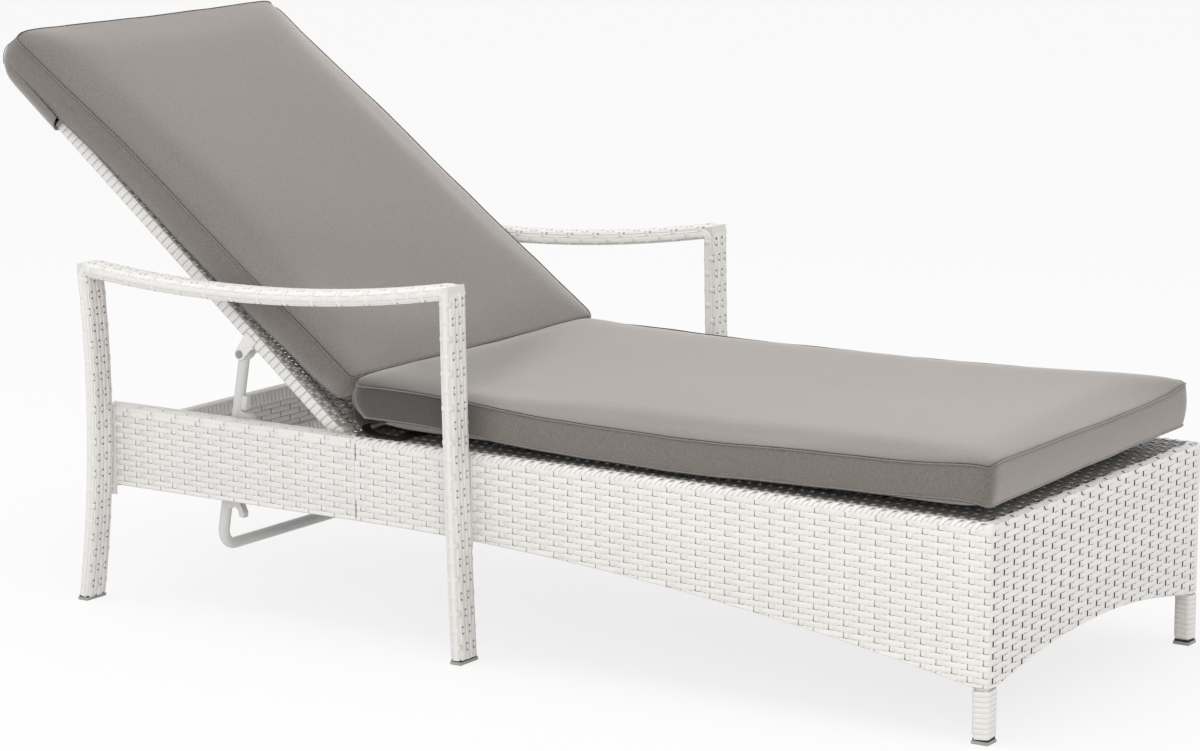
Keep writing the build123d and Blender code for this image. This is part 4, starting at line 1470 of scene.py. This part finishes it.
def fabricMaterial(name, colour, v):
    m, t, bsdf = blankMaterial(name)
    where = add(t, "TexCoord").outputs["Object"]
    weave = addWeave(t, where, v["yarn"])
    fine = addMottle(t, where, 330, 1.0)
    uneven = calc(t, "MULTIPLY", addMottle(t, where, 6, 0.10), fine)
    # the base colour is darkened by the painted shade towards the fold
    kept = calc(t, "SUBTRACT", 1, add(t, "Attribute", attribute_name="wear").outputs["Fac"])
    put(bsdf, "Base Color", toned(t, colour, calc(t, "MULTIPLY", uneven, kept)))
    bumpOn(t, bsdf, calc(t, "MULTIPLY_ADD", fine, v["slub"], weave), 0.4, 0.0004)
    put(bsdf, "Roughness", spread(t, weave, v["rough"] - 0.06, v["rough"] + 0.06))
    put(bsdf, "Sheen Weight", v["sheen"])
    put(bsdf, "Sheen Roughness", 0.55)
    put(bsdf, "Sheen Tint", (1, 0.955, 0.92, 1))
    put(bsdf, "Specular IOR Level", 0.25)
    return m


fabricGrey = fabricMaterial("greyCloth", fabricLook["colour"], fabricLook)
fabricLipHighlight = fabricMaterial("greyClothEdge", fabricLook["lip"], fabricLook)
shadeStripDark = fabricMaterial("seamThread", fabricLook["thread"], fabricLook)

seatFront, backStart = 0.0110, 0.037


def seatToWorld(p):
    return Vector((atX(seatFront) - p.x, p.y, p.z))


def backToWorld(p):
    return backPoint(backStart + p.x, p.y, p.z)


for piece in makePad(seatPad, seatToWorld, "base", "seat_cushion", "cushion_fold"):
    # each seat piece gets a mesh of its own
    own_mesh(piece)
makePad(backPad, backToWorld, "backrest", "back_cushion")
print("cushions made")


def thicken(piece, thick):
    wall = piece.modifiers.new("wall", "SOLIDIFY")
    wall.thickness = thick
    wall.offset = 0
    applyMod(piece, wall)
    return smooth(piece, 60)


def bandSheet(name, path, half, thick, across):
    # a strip of cloth or webbing that follows a line of points in the middle plane
    pickNone()
    last = len(path) - 1
    bpy.ops.mesh.primitive_grid_add(x_subdivisions=last, y_subdivisions=across, size=2)
    strip = bpy.context.object
    strip.name = name

    def place(x, y, z):
        along, up = path[round((x + 1) / 2 * last)]
        return Vector((along, y * half, up))

    mold(strip, place)
    return thicken(strip, thick)


def finePath(points, parts):
    # smooth run through a few points
    out = []
    for i in range(len(points) - 1):
        a, b = Vector(points[i]), Vector(points[i + 1])
        lo, hi = Vector(points[max(i - 1, 0)]), Vector(points[min(i + 2, len(points) - 1)])
        for j in range(parts):
            t = j / parts
            out.append(tuple(0.5 * (2 * a + (b - lo) * t + (2 * lo - 5 * a + 4 * b - hi) * t ** 2
                                    + (3 * a - lo - 3 * b + hi) * t ** 3)))
    return out + [tuple(points[-1])]


# cloth gusset between the two cushions: one half to the fold, the other from it
gusset = {
    "low": ((1.070, 0.345), (1.090, 0.339), (1.110, 0.328), (1.130, 0.3240)),
    "high": ((1.130, 0.3240), (1.142, 0.340), (1.1480, 0.376), (1.150, 0.388)),
    "half": 0.304, "thick": 0.0012,
}


def runOf(path):
    return sum(math.dist(a, b) for a, b in zip(path, path[1:]))


def makeGusset(v):
    for name, key, a, b in (("gussetLow", "low", "base", "hinge_bush"),
                            ("gussetHigh", "high", "hinge_bush", "backrest")):
        path = [(atX(d), z) for d, z in finePath(v[key], 6)]
        strip = bandSheet(name, path, v["half"], v["thick"], 24)
        strip.data.materials.append(fabricGrey)
        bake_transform(strip)
        runOf(path)


makeGusset(gusset)

# hood at the head end of the back cushion, drawn over the end of the frame
hood = {"from": 0.7265, "to": 0.8785, "low": -0.0140, "high": 0.0170, "halfLow": 0.3200, "half": 0.3395,
        "slant": 0.034, "corner": 0.022, "thick": 0.0014, "cuts": (15, 55, 4)}


def makeHood(v):
    mid = (v["from"] + v["to"]) / 2
    run = v["to"] - v["from"]
    rise = v["high"] - v["low"]
    cap = blockOf("headHood", (v["from"], -v["half"], v["low"]), (v["to"], v["half"], v["high"]))
    with editing(cap):
        pickFaces(cap, lambda f: f.normal.z > 0.9 or f.normal.x < -0.9)
        bpy.ops.mesh.delete(type="FACE")
        for axis, cuts in enumerate(v["cuts"]):
            pickEdges(cap, lambda e: edgeRuns(e, axis))
            bpy.ops.mesh.subdivide(number_cuts=cuts)

    def place(x, y, z):
        t = min(max((z - v["low"]) / rise, 0), 1)
        x0, y0 = roundCorners(x - mid, y, run / 2, v["half"], v["corner"]) if x > mid else (x - mid, y)
        x0 += mid
        y0 *= (v["halfLow"] + (v["half"] - v["halfLow"]) * (1 - (1 - t) ** 2.4)) / v["half"]
        far = max(0, (x0 - v["to"] + 0.06) / 0.06)
        x0 -= v["slant"] * (1 - t) ** 1.4 * far * far
        sag = 0.0012 * math.sin(40 * y0) * (1 - t) * math.sin(9 * (x0 - v["from"]))
        return backPoint(x0, y0, z + sag + 0.004 * (1 - t) * far ** 3)

    mold(cap, place)
    thicken(cap, v["thick"])
    dress(cap, "backrest", fabricGrey, "cushion_fabric")


makeHood(hood)

# black webbing that ties the seat cushion down, with a turned loop at each side
strapLook = {"colour": (0.012, 0.012, 0.012), "rough": 0.75, "yarn": 500}
strap = {
    "band": (1.030, 1.055), "half": 0.318, "level": 0.3218, "thick": 0.0016,
    "loop": ((1.062, 0.3460), (1.086, 0.3440), (1.1005, 0.3400), (1.1055, 0.3330), (1.1000, 0.3260),
             (1.084, 0.3228), (1.056, 0.3222), (1.032, 0.3222)),
    "loopWide": 0.022, "loopIn": 0.324,
}


def strapMaterial(v):
    m, t, bsdf = blankMaterial("blackWebbing")
    where = add(t, "TexCoord").outputs["Object"]
    bumpOn(t, bsdf, addWeave(t, where, v["yarn"]), 0.5, 0.0005)
    put(bsdf, "Base Color", toned(t, v["colour"], addMottle(t, where, 300, 0.5)))
    put(bsdf, "Roughness", v["rough"])
    return m


blackWebbing = strapMaterial(strapLook)


def makeStrap(v):
    start, end = v["band"]
    band = [(atX(start), v["level"]), (atX((start + end) / 2), v["level"] + 0.0002), (atX(end), v["level"])]
    flat = bandSheet("seatStrap", band, v["half"], v["thick"], 60)
    parts = [flat]
    path = [(atX(d), z) for d, z in finePath(v["loop"], 6)]
    for side in (-1, 1):
        loop = bandSheet("strapLoop", path, v["loopWide"] / 2, v["thick"], 2)
        loop.location.y = side * v["loopIn"]
        parts.append(bakePlace(loop))
    whole = joinAll("seatStrap", parts)
    dress(whole, "base", blackWebbing, "strap", "cushion_strap")
    wide = end - start
    both = 2 * v["half"] + 2 * runOf(path) * v["loopWide"] / wide


makeStrap(strap)
print("cloth pieces made")


def softBlock(name, lo, hi, bevel):
    # a block between two corners with eased edges
    block = blockOf(name, lo, hi)
    with editing(block):
        bpy.ops.mesh.select_all(action="SELECT")
        bpy.ops.mesh.bevel(offset=bevel, segments=3, affect="EDGES")
    return smooth(block, 40)


# foot caps: a thin pad under each leg, and above it a recessed block painted near black: painted shade in the
# gap between the cap and the winding
footCaps = {"high": 0.0050, "joint": 0.0086, "bevel": 0.0009, "inset": 0.0016,
            "front": (((0.014, 0.334),), (0.0136, 0.0136)),
            "arm": (((0.884, 0.376), (1.629, 0.376)), (0.0098, 0.0237))}


def makeCaps(v):
    capGaps = []
    for name, stand in (("front", "front_foot_caps"), ("arm", "arm_foot_caps")):
        spots, (hx, hy) = v[name]
        pads = []
        for d, y in spots:
            for side in (-1, 1):
                x, q = atX(d), side * y
                pads.append(softBlock("cap", (x - hx, q - hy, 0), (x + hx, q + hy, v["high"]), v["bevel"]))
                i = v["inset"]
                # a near-black block in the recess: painted shade in the gap
                capGaps.append(softBlock("joint", (x - hx + i, q - hy + i, v["high"] - 0.001),
                                        (x + hx - i, q + hy - i, v["joint"]), 0.0003))
        dress(joinAll(name + "FootCaps", pads), "base", capPlastic, "cap_plastic", stand)
    dress(joinAll("footJoints", capGaps), "base", gapDark, "cap_plastic")


makeCaps(footCaps)

# clips that carry the prop bail: a round lobe at the screw, wider where it is fixed to the rail
bailClip = {"pivot": (0.2265, -0.037), "lobe": 0.0098, "flare": 1.30, "up": (0.0380, 0.0245), "thick": 0.0023,
            "faces": (0.3200, 0.2948), "web": (-0.0150, -0.0118), "head": 0.0063, "headHigh": 0.0022,
            "socket": 0.0026, "socketDeep": 0.0013, "shank": 0.0038}


def roundBar(sides, radius, depth):
    pickNone()
    bpy.ops.mesh.primitive_cylinder_add(vertices=sides, radius=radius, depth=depth)
    return bpy.context.object


def clipPlate(v, up, face):
    plate = roundBar(40, v["lobe"], v["thick"])
    mold(plate, lambda x, y, z: Vector((x * v["flare"], up, z)) if y > 1e-5 else Vector((x, y, z)))
    with editing(plate):
        pickEdges(plate, lambda e: abs(e.verts[0].co.z - e.verts[1].co.z) < 1e-6)
        bpy.ops.mesh.bevel(offset=0.0006, segments=2, affect="EDGES")
    s, n = v["pivot"]
    mold(plate, lambda x, y, z: backPoint(s - x, -face - z, n + y))
    return smooth(plate, 40)


def makeClips(v):
    s, n = v["pivot"]
    plates = [clipPlate(v, up, face) for up, face in zip(v["up"], v["faces"])]
    wide = v["lobe"] * 1.3
    web = softBlock("web", (s - wide, v["faces"][1], v["web"][0]),
                    (s + wide, v["faces"][0], v["web"][1]), 0.0005)
    mold(web, lambda x, y, z: backPoint(x, -y, z))
    clip = joinAll("bailClipRight", plates + [web])
    dressPair(clip, "bailClipLeft", "backrest", clipCoat, "bail_coat", "bail_bracket_right",
              "bail_bracket_left")
    head = roundBar(36, v["head"], v["headHigh"])
    with editing(head):
        pickEdges(head, lambda e: e.verts[0].co.z > 0 and e.verts[1].co.z > 0)
        bpy.ops.mesh.bevel(offset=0.0008, segments=3, affect="EDGES")
        pickFaces(head, lambda f: f.normal.z > 0.99)
        bpy.ops.mesh.inset(thickness=v["socket"])
        bpy.ops.transform.translate(value=(0, 0, -v["socketDeep"]))
    out = v["faces"][0] + v["thick"] / 2
    mold(head, lambda x, y, z: backPoint(s - x, -out - v["headHigh"] / 2 - z, n + y))
    shank = roundBar(24, v["shank"], out - v["faces"][1] + 0.002)
    mold(shank, lambda x, y, z: backPoint(s - x, -(out + v["faces"][1]) / 2 - z, n + y))
    screw = smooth(joinAll("pivotScrewRight", [head, shank]), 40)
    screwTwin = mirrorOf(screw, "pivotScrewLeft")
    dress(joinAll("pivotScrews", [screw, screwTwin]), "backrest", screwSteel, "screw_steel", "bail_screws")


makeClips(bailClip)

# stop blocks on the bail's legs over the two upper pairs of catches
bailLug = {"pivot": (-0.443158, 0.421787), "lean": 9.5, "seats": (0.116, 0.190), "from": 0.049, "to": 0.0245,
           "ahead": (0.0075, 0.0190), "across": (0.3005, 0.3135), "bevel": 0.0022}


def makeLugs(v):
    c, k = math.cos(math.radians(v["lean"])), math.sin(math.radians(v["lean"]))
    px, pz = v["pivot"]
    lugs = []
    for seat in v["seats"]:
        for side in (-1, 1):
            y = sorted((side * v["across"][0], side * v["across"][1]))
            lug = softBlock("lug", (v["ahead"][0], y[0], v["to"] - seat),
                            (v["ahead"][1], y[1], v["from"] - seat), v["bevel"])
            lugs.append(mold(lug, lambda x, q, z: Vector((px + x * c + z * k, q, pz - x * k + z * c))))
    dress(smooth(joinAll("bailLugs", lugs), 40), "bail", bailCoat, "bail_coat")


makeLugs(bailLug)
print("caps, clips and lugs made")

# CAD pieces that stay get their finish
slotOf = {part["node"]: part["material_slot"] for part in frame["record"]["subparts"]}
finish = {"frame_coat": frameCoat, "bail_coat": bailCoat, "cap_plastic": capPlastic,
          "bush_nylon": bushNylon, "wicker": frameCoat, "screw_steel": screwSteel}
for name, obj in nodes.items():
    if not obj.hide_render and slotOf[name] in finish:
        obj.data.materials.clear()
        obj.data.materials.append(finish[slotOf[name]])

# camera
cameraView = {
    "place": (3.30479, -4.96470, 1.49816),
    "pitch": 0.184786,
    "yaw": 0.58303,
    "lens": 114.157,
}


def setCamera(v):
    pickNone()
    bpy.ops.object.camera_add(location=v["place"], rotation=(math.pi / 2 - v["pitch"], 0, v["yaw"]))
    cam = bpy.context.object
    cam.name = "photoCamera"
    cam.data.lens = v["lens"]
    cam.data.sensor_width = 36
    cam.data.clip_end = 60
    scene.camera = cam


setCamera(cameraView)
scene.view_settings.view_transform = "Standard"

# white studio: floor, sky and soft lamps
studio = {
    "floor": (0.88, 0.88, 0.88), "floorWhite": 0.8,
    "sky": 0.82,
    "key": 45, "keyPlace": (-0.8, -1.0, 4.2), "keySize": 2.2, "keyTint": (1, 1, 1),
    "fill": 46, "fillPlace": (3.2, -3.9, 2.4), "fillSize": 1.8, "fillTint": (1, 0.93, 0.84),
}


def seenWhite(t):
    # 1 where the ray comes from the camera, a mirror or glass
    path = add(t, "LightPath").outputs
    seen = calc(t, "MAXIMUM", path["Is Camera Ray"], path["Is Glossy Ray"])
    return calc(t, "MAXIMUM", seen, path["Is Transmission Ray"])


def makeSky(v):
    world = bpy.data.worlds.new("studioSky")
    scene.world = world
    world.use_nodes = True
    t = world.node_tree
    t.nodes.clear()
    back = add(t, "Background", {"Color": (1, 1, 1, 1), "Strength": spread(t, seenWhite(t), v["sky"], 1)})
    add(t, "OutputWorld", {"Surface": back.outputs["Background"]})


def makeFloor(v):
    pickNone()
    bpy.ops.mesh.primitive_plane_add(size=30, location=(0, 0, 0))
    floor = bpy.context.object
    floor.name = "floor"
    m, t, bsdf = blankMaterial("paleFloor")
    put(bsdf, "Base Color", (*v["floor"], 1))
    put(bsdf, "Roughness", 0.9)
    put(bsdf, "Specular IOR Level", 0)
    glow = add(t, "Emission", {"Color": (1, 1, 1, 1)}).outputs["Emission"]
    part = calc(t, "MULTIPLY", seenWhite(t), v["floorWhite"])
    mix = add(t, "MixShader", {"Fac": part, 1: bsdf.outputs["BSDF"], 2: glow}).outputs["Shader"]
    put(t.nodes["Material Output"], "Surface", mix)
    floor.data.materials.append(m)


def makeLamps(v):
    for name in ("key", "fill"):
        spot = Vector(v[name + "Place"])
        pickNone()
        bpy.ops.object.light_add(type="AREA", location=spot)
        lamp = bpy.context.object
        lamp.name = name + "Lamp"
        lamp.data.energy = v[name]
        lamp.data.size = v[name + "Size"]
        lamp.data.color = v[name + "Tint"]
        lamp.rotation_euler = (Vector((0, 0, 0.3)) - spot).to_track_quat("-Z", "Y").to_euler()


makeSky(studio)
makeFloor(studio)
makeLamps(studio)
print("studio made")
